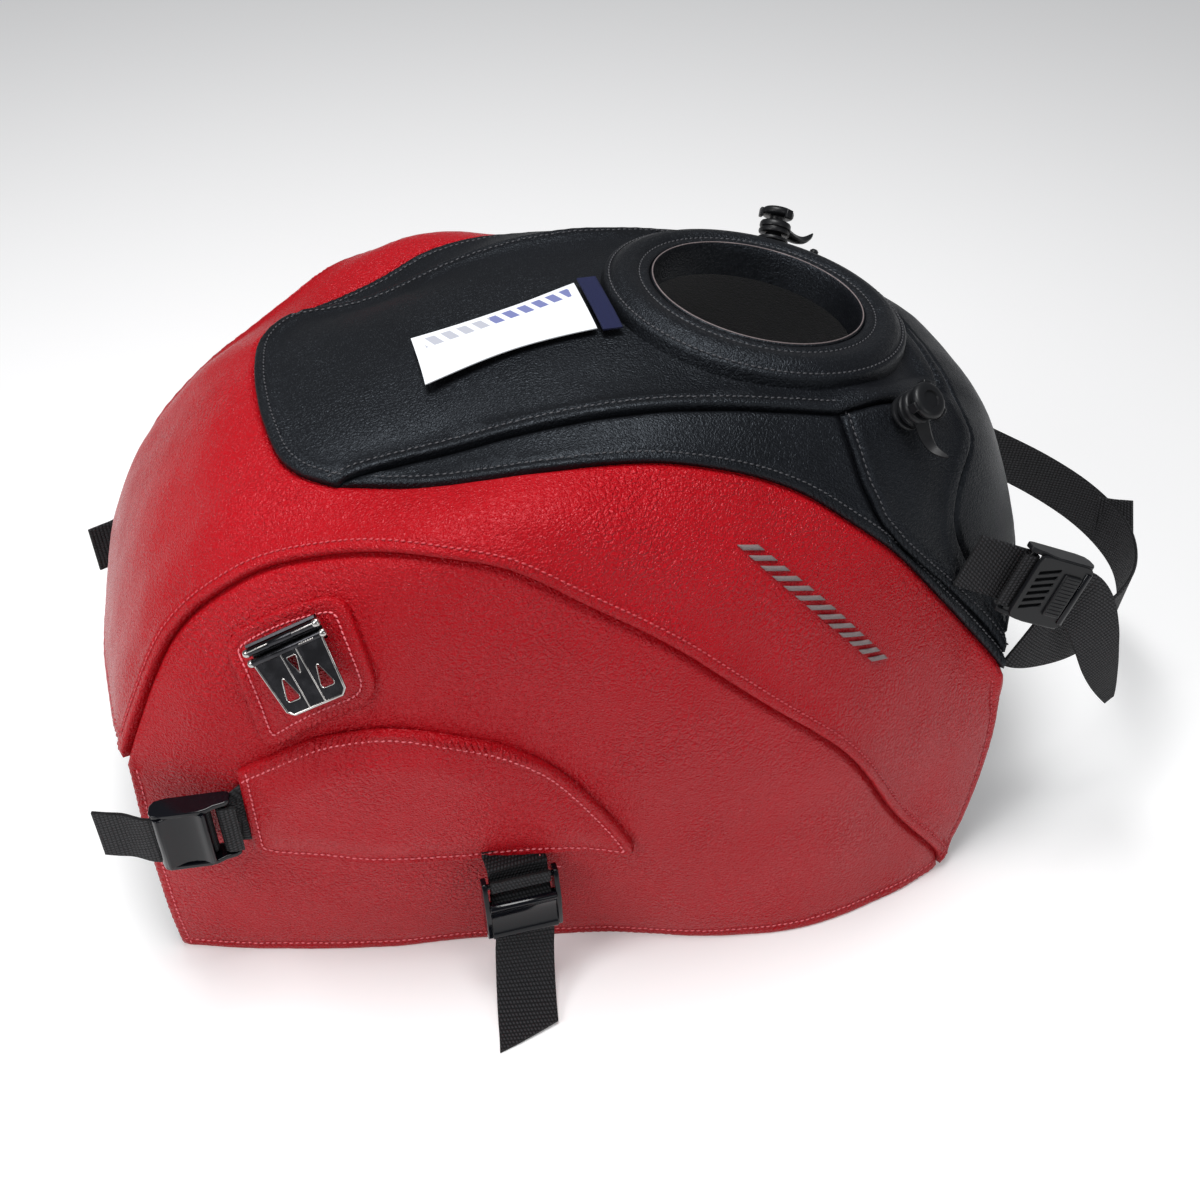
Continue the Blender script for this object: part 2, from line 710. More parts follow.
def sleeve(rings: int, sides: int, closed: bool = False) -> list[tuple[int, ...]]:
    """Faces that join rings of points one after another, with caps where the sleeve is open."""
    faces: list[tuple[int, ...]] = []
    for i in range(rings if closed else rings - 1):
        low, high = i * sides, ((i + 1) % rings) * sides
        for k in range(sides):
            after = (k + 1) % sides
            faces.append((low + k, low + after, high + after, high + k))
    if not closed:
        faces.append(tuple(range(sides)))
        faces.append(tuple(range((rings - 1) * sides, rings * sides)))
    return faces


def lay_uv(piece: Object, name: str, places: Array) -> None:
    """Gives a piece a uv map, from one place for each of its points."""
    layer = piece.data.uv_layers.new(name=name)
    corners = np.empty(len(piece.data.loops), np.int32)
    piece.data.loops.foreach_get("vertex_index", corners)
    layer.data.foreach_set("uv", places.astype(np.float32)[corners].ravel())


def solid(name: str, points: Array, faces: Sequence[Sequence[int]], materials: Sequence[Material],
          slots: Sequence[int] | None = None, sharp: float = 45.0) -> Object:
    """A piece from points in millimetres and faces, with its normals outward."""
    mesh = bpy.data.meshes.new(name)
    mesh.from_pydata([tuple(p) for p in np.asarray(points) * MM], [], [tuple(f) for f in faces])
    for material in materials:
        mesh.materials.append(material)
    if slots is not None:
        mesh.polygons.foreach_set("material_index", np.asarray(slots, dtype=np.int32))
    maker = bmesh.new()
    maker.from_mesh(mesh)
    bmesh.ops.recalc_face_normals(maker, faces=maker.faces)
    maker.to_mesh(mesh)
    maker.free()
    mesh.shade_smooth()
    mesh.set_sharp_from_angle(angle=math.radians(sharp))
    return added(name, mesh)


def merged(name: str, pieces: Sequence[Object]) -> Object:
    """One piece from several, with their materials kept."""
    materials: list[Material] = []
    maker = bmesh.new()
    for piece in pieces:
        start = len(maker.faces)
        maker.from_mesh(piece.data)
        maker.faces.ensure_lookup_table()
        lookup = []
        for material in piece.data.materials:
            if material not in materials:
                materials.append(material)
            lookup.append(materials.index(material))
        for face in maker.faces[start:]:
            face.material_index = lookup[face.material_index]
    mesh = bpy.data.meshes.new(name)
    maker.to_mesh(mesh)
    maker.free()
    for material in materials:
        mesh.materials.append(material)
    for piece in pieces:
        bpy.data.objects.remove(piece, do_unlink=True)
    return added(name, mesh)


def settle(piece: Object, body: str, slot: str, replaces: Sequence[str] = ()) -> Object:
    """Rides a finished piece on its body and says which model nodes it stands for."""
    if replaces:
        piece.name = f"{replaces[0]}_skin"
        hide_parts(*replaces)
    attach(piece, body)
    LOG.info("%s: %d faces on %s", piece.name, len(piece.data.polygons), body)
    return piece


def bevelled(piece: Object, width: float, segments: int = 2, angle: float = 30.0) -> Object:
    """Rounds a hard piece's edges for good."""
    modifier = piece.modifiers.new("Round", "BEVEL")
    modifier.width = width * MM
    modifier.segments = segments
    modifier.limit_method = "ANGLE"
    modifier.angle_limit = math.radians(angle)
    modifier.harden_normals = False
    return plain(piece)


def plain(piece: Object) -> Object:
    """Turns what the modifiers make into the piece's own mesh."""
    graph = bpy.context.evaluated_depsgraph_get()
    mesh = bpy.data.meshes.new_from_object(piece.evaluated_get(graph))
    piece.modifiers.clear()
    piece.data = mesh
    return piece


def region(outline: Array, holes: Sequence[Array], pitch: float,
           rings: Sequence[float]) -> tuple[Array, Array]:
    """Triangulates a region of the (t, s) plane.

    Args:
        outline: closed (t, s) outline.
        holes: closed (t, s) outlines of its holes.
        pitch: spacing of the inner points, in millimetres.
        rings: distances from the edges at which extra rows of points lie.

    Returns:
        (t, s) rows and triangles.
    """
    loops = [outline] + list(holes)
    borders = [point(np.vstack([loop, loop[:1]])) for loop in loops]
    spots = list(loops)
    for loop in loops:
        area = np.sum(loop[:, 0] * np.roll(loop[:, 1], -1) - np.roll(loop[:, 0], -1) * loop[:, 1])
        way = 1.0 if (area > 0) == (loop is outline) else -1.0
        tangent = unit(point(np.roll(loop, -1, axis=0)) - point(np.roll(loop, 1, axis=0)))
        for distance in rings:
            inner = moved(loop, np.cross(normal(loop), tangent) * -way * distance)
            gap = np.min([away(point(inner), border)[0] for border in borders], axis=0)
            spots.append(inner[gap > 0.93 * distance])
    low, high = outline.min(0), outline.max(0)
    step = pitch / FLAT
    grid = [(t, s + 0.5 * step[1] * (i % 2))
            for i, t in enumerate(np.arange(low[0], high[0], step[0] * 0.87))
            for s in np.arange(low[1], high[1], step[1])]
    grid = np.array(grid)
    grid = grid[within(grid, outline, holes)]
    gap = np.min([away(point(grid), border)[0] for border in borders], axis=0)
    spots.append(grid[gap > rings[-1] + 0.45 * pitch])
    flat = np.vstack(spots)
    edges, start = [], 0
    for loop in loops:
        edges += [(start + k, start + (k + 1) % len(loop)) for k in range(len(loop))]
        start += len(loop)
    found, _, faces, *_ = delaunay_2d_cdt([Vector(p) for p in flat * FLAT], edges, [], 0, 1e-4)
    rows = np.array([tuple(p) for p in found]) / FLAT
    table = np.array([tuple(f) for f in faces])
    return rows, table[within(rows[table].mean(axis=1), outline, holes)]


@dataclass
class Panel:
    """A sewn panel: a region of the form with raised, tucked and stitched edges."""

    name: str
    outline: list[Array]
    holes: list[Array] = field(default_factory=list)
    folds: list[Array] = field(default_factory=list)
    tucks: list[Array] = field(default_factory=list)
    frees: list[Array] = field(default_factory=list)
    stitches: list[Array] = field(default_factory=list)
    lift: float = 0.0
    thick: float = 3.8
    fold_height: float = 2.2
    tuck_depth: float = 2.7
    round_edge: float = 1.5
    bite: float = 0.9
    pucker: float = 0.16
    puff: float = 0.0
    wave: float = 0.55
    pitch: float = 5.0
    edge_pitch: float = 4.0

    def loop(self) -> Array:
        """The closed outline at an even pitch."""
        rows = [resample(piece, self.edge_pitch) for piece in self.outline]
        return np.vstack([row[:-1] for row in rows])

    def lines(self, group: list[Array]) -> list[Array]:
        """A group's lines in space."""
        return [point(resample(line, 3.0)) for line in group]

    def heights(self, ts: Array) -> tuple[Array, Array]:
        """Height of the outer face above the form and how far the edges round away, at (t, s) rows."""
        here = point(ts)
        lift = np.full(len(ts), self.lift) + ripple(here) * self.wave
        turn = np.zeros(len(ts))
        for group, height, reach in ((self.folds, self.fold_height, FOLD_REACH),
                                     (self.tucks, -self.tuck_depth, TUCK_REACH)):
            if group:
                distance = np.min([away(here, line)[0] for line in self.lines(group)], axis=0)
                lift += height * (1 - step_between(*reach, distance))
        for line in self.lines(self.stitches):
            distance, along = away(here, line)
            lift -= self.bite * np.exp(-((distance / 1.3) ** 2))
            lift += self.pucker * np.sin(along * math.tau / 9.0) * np.exp(-((distance / 5.0) ** 2))
            if self.puff:
                lift += self.puff * step_between(1.0, 14.0, distance) * self.beyond(here)
        radius = self.round_edge
        for line in self.lines(self.folds + self.frees):
            near = np.clip(away(here, line)[0], 0, radius)
            turn = np.maximum(turn, radius - np.sqrt(np.maximum(radius**2 - (radius - near) ** 2, 0)))
        return lift, turn

    def beyond(self, here: Array) -> Array:
        """1 well inside the panel's free edges, 0 near them."""
        gap = np.min([away(here, line)[0] for line in self.lines(self.folds + self.frees)], axis=0)
        return step_between(4.0, 16.0, gap)

    def build(self, outer: Material, inner: Material) -> Object:
        """Makes the closed panel: its outer face, its lining and the edge between them."""
        holes = [resample(np.vstack([hole, hole[:1]]), self.edge_pitch)[:-1] for hole in self.holes]
        rows, triangles = region(self.loop(), holes, self.pitch, EDGE_ROWS)
        lift, turn = self.heights(rows)
        out = normal(rows)
        base = point(rows)
        top = base + out * (lift - turn)[:, None]
        bottom = base + out * (self.lift - self.thick)
        for layer in (top, bottom):
            layer[:, 2] = np.maximum(layer[:, 2], GROUND_GAP)
        count = len(rows)
        faces = [tuple(f) for f in triangles] + [tuple(f[::-1] + count) for f in triangles]
        slots = [0] * len(triangles) + [1] * len(triangles)
        seen: dict[tuple[int, int], tuple[int, int]] = {}
        for a, b, c in triangles.tolist():
            for edge in ((a, b), (b, c), (c, a)):
                key = (min(edge), max(edge))
                if key in seen:
                    seen[key] = ()
                else:
                    seen[key] = edge
        for edge in seen.values():
            if edge:
                a, b = edge
                faces.append((b, a, a + count, b + count))
                slots.append(0)
        used = np.unique(np.concatenate([np.array(f) for f in faces]))
        lookup = np.full(2 * count, -1)
        lookup[used] = np.arange(len(used))
        faces = [tuple(int(lookup[k]) for k in f) for f in faces]
        return solid(self.name, np.vstack([top, bottom])[used], faces, [outer, inner], slots, 55)

    def seat(self, ts: Array, above: float = 0.0) -> Array:
        """Points on the outer face, at (t, s) rows."""
        lift, turn = self.heights(ts)
        return raised(ts, lift - turn + above)


# -----------------------------------------------------------------------------
# Stitching
# -----------------------------------------------------------------------------
@dataclass
class Needle:
    """Sews runs of stitches with a node tree that sets one bead of thread at each step of a line."""

    pitch: float = 3.1
    length: float = 2.5
    width: float = 0.95
    tree: bpy.types.NodeTree | None = None

    def inputs(self) -> dict[str, str]:
        """The tree's input identifiers by name."""
        items = self.tree.interface.items_tree
        return {item.name: item.identifier for item in items if item.in_out == "INPUT"}

    def build_tree(self) -> None:
        """Makes the node tree."""
        group = bpy.data.node_groups.new("run_of_stitches", "GeometryNodeTree")
        face = group.interface
        face.new_socket("Geometry", in_out="INPUT", socket_type="NodeSocketGeometry")
        for name in ("Pitch", "Length", "Width"):
            face.new_socket(name, in_out="INPUT", socket_type="NodeSocketFloat")
        face.new_socket("Thread", in_out="INPUT", socket_type="NodeSocketMaterial")
        face.new_socket("Geometry", in_out="OUTPUT", socket_type="NodeSocketGeometry")
        node, link = group.nodes.new, group.links.new
        start, end = node("NodeGroupInput"), node("NodeGroupOutput")
        curve, steps = node("GeometryNodeMeshToCurve"), node("GeometryNodeResampleCurve")
        steps.mode = "LENGTH"
        link(start.outputs["Geometry"], curve.inputs[0])
        link(curve.outputs[0], steps.inputs["Curve"])
        link(start.outputs["Pitch"], steps.inputs["Length"])
        bead, size = node("GeometryNodeMeshUVSphere"), node("ShaderNodeCombineXYZ")
        bead.inputs["Segments"].default_value = 6
        bead.inputs["Rings"].default_value = 5
        bead.inputs["Radius"].default_value = 0.5
        link(start.outputs["Length"], size.inputs[0])
        link(start.outputs["Width"], size.inputs[1])
        link(start.outputs["Width"], size.inputs[2])
        shape = node("GeometryNodeTransform")
        link(bead.outputs["Mesh"], shape.inputs["Geometry"])
        link(size.outputs[0], shape.inputs["Scale"])
        outward, tangent = node("GeometryNodeInputNamedAttribute"), node("GeometryNodeInputTangent")
        outward.data_type = "FLOAT_VECTOR"
        outward.inputs["Name"].default_value = "outward"
        turn, slant = node("FunctionNodeAxesToRotation"), node("FunctionNodeRotateRotation")
        turn.primary_axis, turn.secondary_axis = "Z", "X"
        slant.rotation_space = "LOCAL"
        slant.inputs["Rotate By"].default_value = (0.0, 0.05, 0.16)
        link(outward.outputs["Attribute"], turn.inputs["Primary Axis"])
        link(tangent.outputs[0], turn.inputs["Secondary Axis"])
        link(turn.outputs[0], slant.inputs["Rotation"])
        put, real = node("GeometryNodeInstanceOnPoints"), node("GeometryNodeRealizeInstances")
        link(steps.outputs[0], put.inputs["Points"])
        link(shape.outputs[0], put.inputs["Instance"])
        link(slant.outputs[0], put.inputs["Rotation"])
        link(put.outputs[0], real.inputs[0])
        smooth, dress = node("GeometryNodeSetShadeSmooth"), node("GeometryNodeSetMaterial")
        link(real.outputs[0], smooth.inputs["Geometry"])
        link(smooth.outputs[0], dress.inputs["Geometry"])
        link(start.outputs["Thread"], dress.inputs["Material"])
        link(dress.outputs[0], end.inputs[0])
        self.tree = group

    def sew(self, name: str, runs: Sequence[tuple[Array, Array]], thread: Material,
            pitch: float | None = None) -> Object:
        """Sews stitches along runs.

        Args:
            name: the piece's name.
            runs: for each run, its points in millimetres and its outward directions.
            thread: the thread's material.
            pitch: stitch spacing, if it isn't the usual one.

        Returns:
            The piece of stitches, as a plain mesh.
        """
        if self.tree is None:
            self.build_tree()
        mesh = bpy.data.meshes.new(name)
        points = np.vstack([run[0] for run in runs]) * MM
        edges, start = [], 0
        for line, _ in runs:
            edges += [(start + k, start + k + 1) for k in range(len(line) - 1)]
            start += len(line)
        mesh.from_pydata([tuple(p) for p in points], edges, [])
        outward = mesh.attributes.new("outward", "FLOAT_VECTOR", "POINT")
        outward.data.foreach_set("vector", np.vstack([run[1] for run in runs]).astype(np.float32).ravel())
        piece = added(name, mesh)
        modifier = piece.modifiers.new("Stitches", "NODES")
        modifier.node_group = self.tree
        keys = self.inputs()
        modifier[keys["Pitch"]] = (pitch or self.pitch) * MM
        modifier[keys["Length"]] = self.length * MM
        modifier[keys["Width"]] = self.width * MM
        modifier[keys["Thread"]] = thread
        plain(piece)
        if not len(piece.data.materials):
            piece.data.materials.append(thread)
        return piece

    def along(self, panel: Panel, lines: Sequence[Array],
              above: float = 0.35) -> list[tuple[Array, Array]]:
        """Runs on a panel's face, from (t, s) lines."""
        runs = []
        for line in lines:
            rows = resample(line, 2.0)
            runs.append((panel.seat(rows, above), normal(rows)))
        return runs


NEEDLE = Needle()


# -----------------------------------------------------------------------------
# Hardware frames and small solids
# -----------------------------------------------------------------------------
@dataclass(frozen=True)
class Spot:
    """A local frame: u along, w across and n outward, at an origin in millimetres."""

    origin: Array
    u: Array
    w: Array
    n: Array

    @classmethod
    def on_axis(cls, joint: str, outward: Array) -> "Spot":
        """The frame on a hinge whose axis is -w, with n as near to a direction as it can be."""
        data = JOINTS[joint]
        w = -unit(np.array(data["axis"], float))
        n = unit(outward - outward.dot(w) * w)
        return cls(np.array(data["pos_m"]) / MM, np.cross(w, n), w, n)

    @classmethod
    def on_stem(cls, joint: str, heading: Array) -> "Spot":
        """The frame on a swivel whose axis is n, with u as near to a heading as it can be."""
        data = JOINTS[joint]
        n = unit(np.array(data["axis"], float))
        u = unit(heading - heading.dot(n) * n)
        return cls(np.array(data["pos_m"]) / MM, u, np.cross(n, u), n)

    def out(self, local: Array) -> Array:
        """World points from (u, w, n) rows."""
        local = np.atleast_2d(np.asarray(local, float))
        return self.origin + local @ np.array([self.u, self.w, self.n])

    def lathe(self, name: str, profile: Sequence[tuple[float, float]], material: Material,
              steps: int = 48, closed: bool = False, sharp: float = 40.0) -> Object:
        """A turned piece from (radius, n) pairs; a closed profile is a ring."""
        rows = np.array(profile, float)
        angles = np.arange(steps) * math.tau / steps
        points = np.array([[r * math.cos(a), r * math.sin(a), h] for r, h in rows for a in angles])
        return solid(name, self.out(points), sleeve(len(rows), steps, closed), [material], sharp=sharp)

    def prism(self, name: str, profile: Sequence[tuple[float, float]], halves: Sequence[float],
              material: Material, shift: float = 0.0) -> Object:
        """A (u, n) profile drawn out along w, to each point's own half width."""
        near = [(u, shift - half, n) for (u, n), half in zip(profile, halves)]
        far = [(u, shift + half, n) for (u, n), half in zip(profile, halves)]
        count = len(profile)
        faces: list[tuple[int, ...]] = [(k, (k + 1) % count, (k + 1) % count + count, k + count)
                                        for k in range(count)]
        faces += [tuple(range(count)), tuple(range(count, 2 * count))]
        return solid(name, self.out(np.array(near + far)), faces, [material])

    def block(self, name: str, low: Sequence[float], high: Sequence[float], material: Material) -> Object:
        """A box between two (u, w, n) corners."""
        profile = [(low[0], low[2]), (high[0], low[2]), (high[0], high[2]), (low[0], high[2])]
        half = (high[1] - low[1]) / 2
        return self.prism(name, profile, [half] * 4, material, (high[1] + low[1]) / 2)

    def plate(self, name: str, outline: Sequence[tuple[float, float]],
              holes: Sequence[Sequence[tuple[float, float]]], low: float, high: float,
              material: Material) -> Object:
        """A flat plate with holes, from (u, w) outlines, between two heights."""
        loops = [list(outline)] + [list(hole) for hole in holes]
        spots, edges = [], []
        for loop in loops:
            start = len(spots)
            spots += loop
            edges += [(start + k, start + (k + 1) % len(loop)) for k in range(len(loop))]
        found, _, cells, *_ = delaunay_2d_cdt([Vector(p) for p in spots], edges, [], 0, 1e-4)
        flat = np.array([tuple(p) for p in found])
        table = np.array([tuple(c) for c in cells])
        cut = [np.array(hole) for hole in holes]
        table = table[within(flat[table].mean(axis=1), np.array(outline), cut)]
        count = len(flat)
        faces = [tuple(f) for f in table] + [tuple(f[::-1] + count) for f in table]
        start = 0
        for loop in loops:
            for k in range(len(loop)):
                a, b = start + k, start + (k + 1) % len(loop)
                faces.append((a, b, b + count, a + count))
            start += len(loop)
        top = np.column_stack([flat, np.full(count, high)])
        bottom = np.column_stack([flat, np.full(count, low)])
        return solid(name, self.out(np.vstack([top, bottom])), faces, [material], sharp=30)

    def tube(self, name: str, path: Sequence[Sequence[float]], radius: float, material: Material,
             closed: bool = False, sides: int = 10) -> Object:
        """A round bead along (u, w, n) points, with rounded ends where it is open."""
        return rod(name, self.out(np.array(path, float)), radius, material, closed, sides)


def rod(name: str, line: Array, radius: float | Sequence[float], material: Material, closed: bool = False,
        sides: int = 10) -> Object:
    """A round bead along points in millimetres, with rounded ends where it is open."""
    radii = np.broadcast_to(radius, (len(line),)).astype(float)
    if not closed:
        first, last = unit(line[0] - line[1]), unit(line[-1] - line[-2])
        line = np.vstack([line[0] + first * radii[0] * 0.7, line[0] + first * radii[0] * 0.4, line,
                          line[-1] + last * radii[-1] * 0.4, line[-1] + last * radii[-1] * 0.7])
        radii = np.concatenate([[0.35 * radii[0], 0.85 * radii[0]], radii,
                                [0.85 * radii[-1], 0.35 * radii[-1]]])
    if closed:
        tangent = unit(np.roll(line, -1, axis=0) - np.roll(line, 1, axis=0))
    else:
        tangent = unit(np.gradient(line, axis=0))
    side = np.cross(tangent[0], (0.0, 0.0, 1.0) if abs(tangent[0][2]) < 0.9 else (1.0, 0.0, 0.0))
    points = []
    for here, forward, size in zip(line, tangent, radii):
        side = unit(side - side.dot(forward) * forward)
        up = np.cross(forward, side)
        for k in range(sides):
            angle = math.tau * k / sides
            points.append(here + (side * math.cos(angle) + up * math.sin(angle)) * size)
    return solid(name, np.array(points), sleeve(len(line), sides, closed), [material], sharp=60)


def rounded(corners: Sequence[Sequence[float]], share: float = 0.2, arc: int = 6) -> Array:
    """A closed outline with its corners turned into short arcs."""
    out = []
    table = np.array(corners, float)
    for before, here, after in zip(np.roll(table, 1, axis=0), table, np.roll(table, -1, axis=0)):
        start, end = here + (before - here) * share, here + (after - here) * share
        for u in np.linspace(0, 1, arc + 1):
            out.append((1 - u) ** 2 * start + 2 * u * (1 - u) * here + u**2 * end)
    return np.array(out)


@dataclass
class Strap:
    """Webbing along a path, with rounded selvages and a woven uv map."""

    name: str
    path: Array
    across: Array
    width: float = 30.0
    thick: float = 1.6
    slant: float = 0.0
    taper: float = 0.0
    step: float = 2.5

    def build(self, webbing: Material) -> Object:
        """Sweeps the strap; slant cuts its first end askew."""
        knots = np.arange(len(self.path), dtype=float)
        dense = through(self.path, knots, np.linspace(0, knots[-1], len(self.path) * 12))
        run = np.concatenate([[0], np.cumsum(np.linalg.norm(np.diff(dense, axis=0), axis=1))])
        total = run[-1]
        count = max(4, round(total / self.step))
        stops = np.linspace(0, total, count + 1)
        half = self.width / 2
        lip = self.thick / 2
        ring = [(-half, 0.0), (-half + 0.4, lip * 1.05), (-half + 1.6, lip), (-half / 3, lip * 0.92),
                (half / 3, lip * 0.92), (half - 1.6, lip), (half - 0.4, lip * 1.05), (half, 0.0)]
        ring += [(a, -b) for a, b in ring[-2:0:-1]]
        points, uvs = [], []

        def read(at: float) -> Array:
            """The strap's middle at a distance along it."""
            return np.array([np.interp(at, run, dense[:, k]) for k in range(3)])

        for stop in stops:
            share = stop / total
            slim = 1.0 - self.taper * (1 - share) ** 4
            for a, b in ring:
                at = stop + self.slant * (a / half + 1) / 2 * (1 - share) ** 3
                forward = unit(read(min(at + 1, total)) - read(max(at - 1, 0)))
                side = unit(self.across - self.across.dot(forward) * forward)
                points.append(read(at) + side * a * slim + np.cross(forward, side) * b)
                uvs.append((a * MM, at * MM + (0.5 if b < 0 else 0.0)))
        piece = solid(self.name, np.array(points), sleeve(count + 1, len(ring)), [webbing], sharp=70)
        lay_uv(piece, "weave", np.array(uvs))
        return piece


# -----------------------------------------------------------------------------
# The shell
# -----------------------------------------------------------------------------
@dataclass
class Shell:
    """The sewn shell: saddle, walls, tongue, wedges, shoulders and nose, with their seams."""

    wardrobe: Wardrobe
    stitch_in: float = 5.0
    hole_radius: float = 60.0
    hole_centre: tuple[float, float] = (FILLER_X, 0.0)
    panels: dict[str, Panel] = field(default_factory=dict)

    def hole(self, radius: float, count: int = 96) -> Array:
        """(t, s) outline of a round hole about the filler cap, by Newton's method."""
        angles = np.arange(count) * math.tau / count + 0.01
        aim = np.column_stack([self.hole_centre[0] + radius * np.cos(angles), -radius * np.sin(angles)])
        spots = np.column_stack([0.76 + 0.0016 * radius * np.cos(angles), 0.0034 * radius * np.sin(angles)])
        for _ in range(25):
            along, across = partials(spots)
            miss = aim - point(spots)[:, :2]
            size = along[:, 0] * across[:, 1] - along[:, 1] * across[:, 0]
            dt = (miss[:, 0] * across[:, 1] - miss[:, 1] * across[:, 0]) / size
            ds = (along[:, 0] * miss[:, 1] - along[:, 1] * miss[:, 0]) / size
            spots = spots + np.clip(np.column_stack([dt, ds]), -0.05, 0.05)
        return spots

    def saddle(self) -> Panel:
        """The red panel over the rear, the crown's edges and the front corners."""
        tail = free_curve(TAIL)
        left = Side.LEFT.flip
        arch, colour = ARCH.line(0.0, 1.0), COLOUR.line(1.0, 0.33)
        outline = [straight((0.0, -ARCH.s(0.0)), (0.0, 0.0), (0.0, ARCH.s(0.0))), arch,
                   straight((1.0, ARCH.s(1.0)), (1.0, 0.515)), colour, tail, left(tail)[::-1],
                   left(colour)[::-1], straight((1.0, -0.515), (1.0, -ARCH.s(1.0))), left(arch)[::-1]]
        stitched = beside(ARCH.line(0.012, 0.985), self.stitch_in, (0.4, 0.33))
        front = straight((1.0, 0.515), (1.0, ARCH.s(1.0)))
        corner = beside(straight((1.0, 0.54), (1.0, 0.96)), self.stitch_in, (0.8, 0.75))
        return Panel(
            "saddle_panel", outline, folds=[arch, left(arch)],
            tucks=[colour, tail, left(colour), left(tail)],
            frees=[outline[0], front, left(front)],
            stitches=[stitched, left(stitched), corner, left(corner),
                      beside(straight((0.0, -0.44), (0.0, 0.44)), self.stitch_in, (0.3, 0.0))])

    def wall(self, side: Side) -> Panel:
        """The red side wall below the arch seam."""
        arch = ARCH.line(0.985, 0.0)
        hem = straight((0.0, 1.0), (0.985, 1.0))
        rear = straight((0.0, ARCH.s(0.0)), (0.0, 1.0))
        end = straight((0.985, 1.0), (0.985, ARCH.s(0.985)))
        outline = [side.flip(piece) for piece in (rear, hem, end, arch)]
        stitches = [beside(straight((0.006, 1.0), (0.98, 1.0)), self.stitch_in + 0.8, (0.5, 0.8)),
                    beside(straight((0.0, 0.53), (0.0, 0.985)), self.stitch_in, (0.3, 0.8))]
        return Panel(f"side_panel_{side.value}", outline, tucks=[side.flip(arch)],
                     frees=[side.flip(hem), side.flip(rear)],
                     stitches=[side.flip(line) for line in stitches])

    def tongue(self) -> Panel:
        """The black tongue over the crown, around the filler opening."""
        tail = free_curve(TAIL)
        seam = TONGUE.line(0.33, 0.78)
        front = straight(*SEAT_EDGE)
        left = Side.LEFT.flip
        outline = [seam, front, left(front)[::-1], left(seam)[::-1], left(tail), tail[::-1]]
        round_tail = np.vstack([tail[:-1], left(tail)[::-1]])
        stitched = beside(seam, self.stitch_in, (0.6, 0.0))
        back = beside(round_tail, self.stitch_in, (0.5, 0.0))
        return Panel("tongue_panel", outline, holes=[self.hole(self.hole_radius)],
                     folds=[seam, left(seam), round_tail, front, left(front)],
                     stitches=[stitched, left(stitched), back], wave=0.35)

    def wedge(self, side: Side) -> Panel:
        """The black wedge between the tongue and the red."""
        colour = COLOUR.line(0.33, 1.0)
        seam = TONGUE.line(0.78, 0.33)
        top = free_curve(SHOULDER_TOP)
        shoulder = SHOULDER.line(0.795, 1.0)
        outline = [colour, straight((1.0, 0.515), (1.0, 0.490)), shoulder[::-1], top[::-1], seam]
        stitched = beside(COLOUR.line(0.37, 0.985), self.stitch_in - 0.4, (0.6, 0.37))
        return Panel(f"wedge_panel_{side.value}", [side.flip(piece) for piece in outline],
                     folds=[side.flip(colour)], tucks=[side.flip(seam), side.flip(top), side.flip(shoulder)],
                     stitches=[side.flip(stitched)], fold_height=1.1)

    def shoulder(self, side: Side) -> Panel:
        """The black shoulder ahead of the filler opening, under the hook."""
        top, seam = free_curve(SHOULDER_TOP), SHOULDER.line(0.795, 1.0)
        nose = free_curve(NOSE)
        front = straight(*SEAT_EDGE[::-1])
        outline = [top, seam, straight((1.0, 0.490), (1.0, 0.474)), nose[::-1],
                   straight((0.893, 0.0), (SEAT_FRONT, 0.0)), front]
        edge = np.vstack([top[:-1], seam])
        stitched = beside(edge, 3.6, (0.86, 0.40))
        return Panel(f"shoulder_panel_{side.value}", [side.flip(piece) for piece in outline],
                     folds=[side.flip(edge), side.flip(nose)], tucks=[side.flip(front)],
                     stitches=[side.flip(stitched)], fold_height=1.0, wave=0.8)

    def nose(self) -> Panel:
        """The black panel that closes the front."""
        nose = free_curve(NOSE)
        left = Side.LEFT.flip
        front = straight((1.0, 0.474), (1.0, 0.0), (1.0, -0.474))
        return Panel("nose_panel", [left(nose)[::-1], nose, front], tucks=[nose, left(nose)], frees=[front],
                     stitches=[beside(straight((1.0, -0.46), (1.0, 0.46)), self.stitch_in, (0.95, 0.0))])

    def build(self) -> None:
        """Builds and dresses every panel with its stitches."""
        red, black = self.wardrobe.red, self.wardrobe.black
        made = [(self.saddle(), red), (self.tongue(), black), (self.nose(), black)]
        for side in Side:
            made += [(self.wall(side), red), (self.wedge(side), black), (self.shoulder(side), black)]
        for panel, leather in made:
            self.panels[panel.name] = panel
            is_red = leather is red
            slot = "leatherette_red" if is_red else "leatherette_black"
            piece = panel.build(leather, self.wardrobe.lining)
            settle(piece, COVER, slot, [panel.name])
            self.declare(panel.name)
            thread = self.wardrobe.red_thread if is_red else self.wardrobe.black_thread
            if panel.name.startswith("side"):
                thread = self.wardrobe.pale_thread
            sewn = NEEDLE.sew(f"{panel.name}_stitches", NEEDLE.along(panel, panel.stitches), thread)
            settle(sewn, COVER, slot)

    def declare(self, node: str) -> None:
        """Says how large the flat cut of a panel is."""
        low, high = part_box(node)


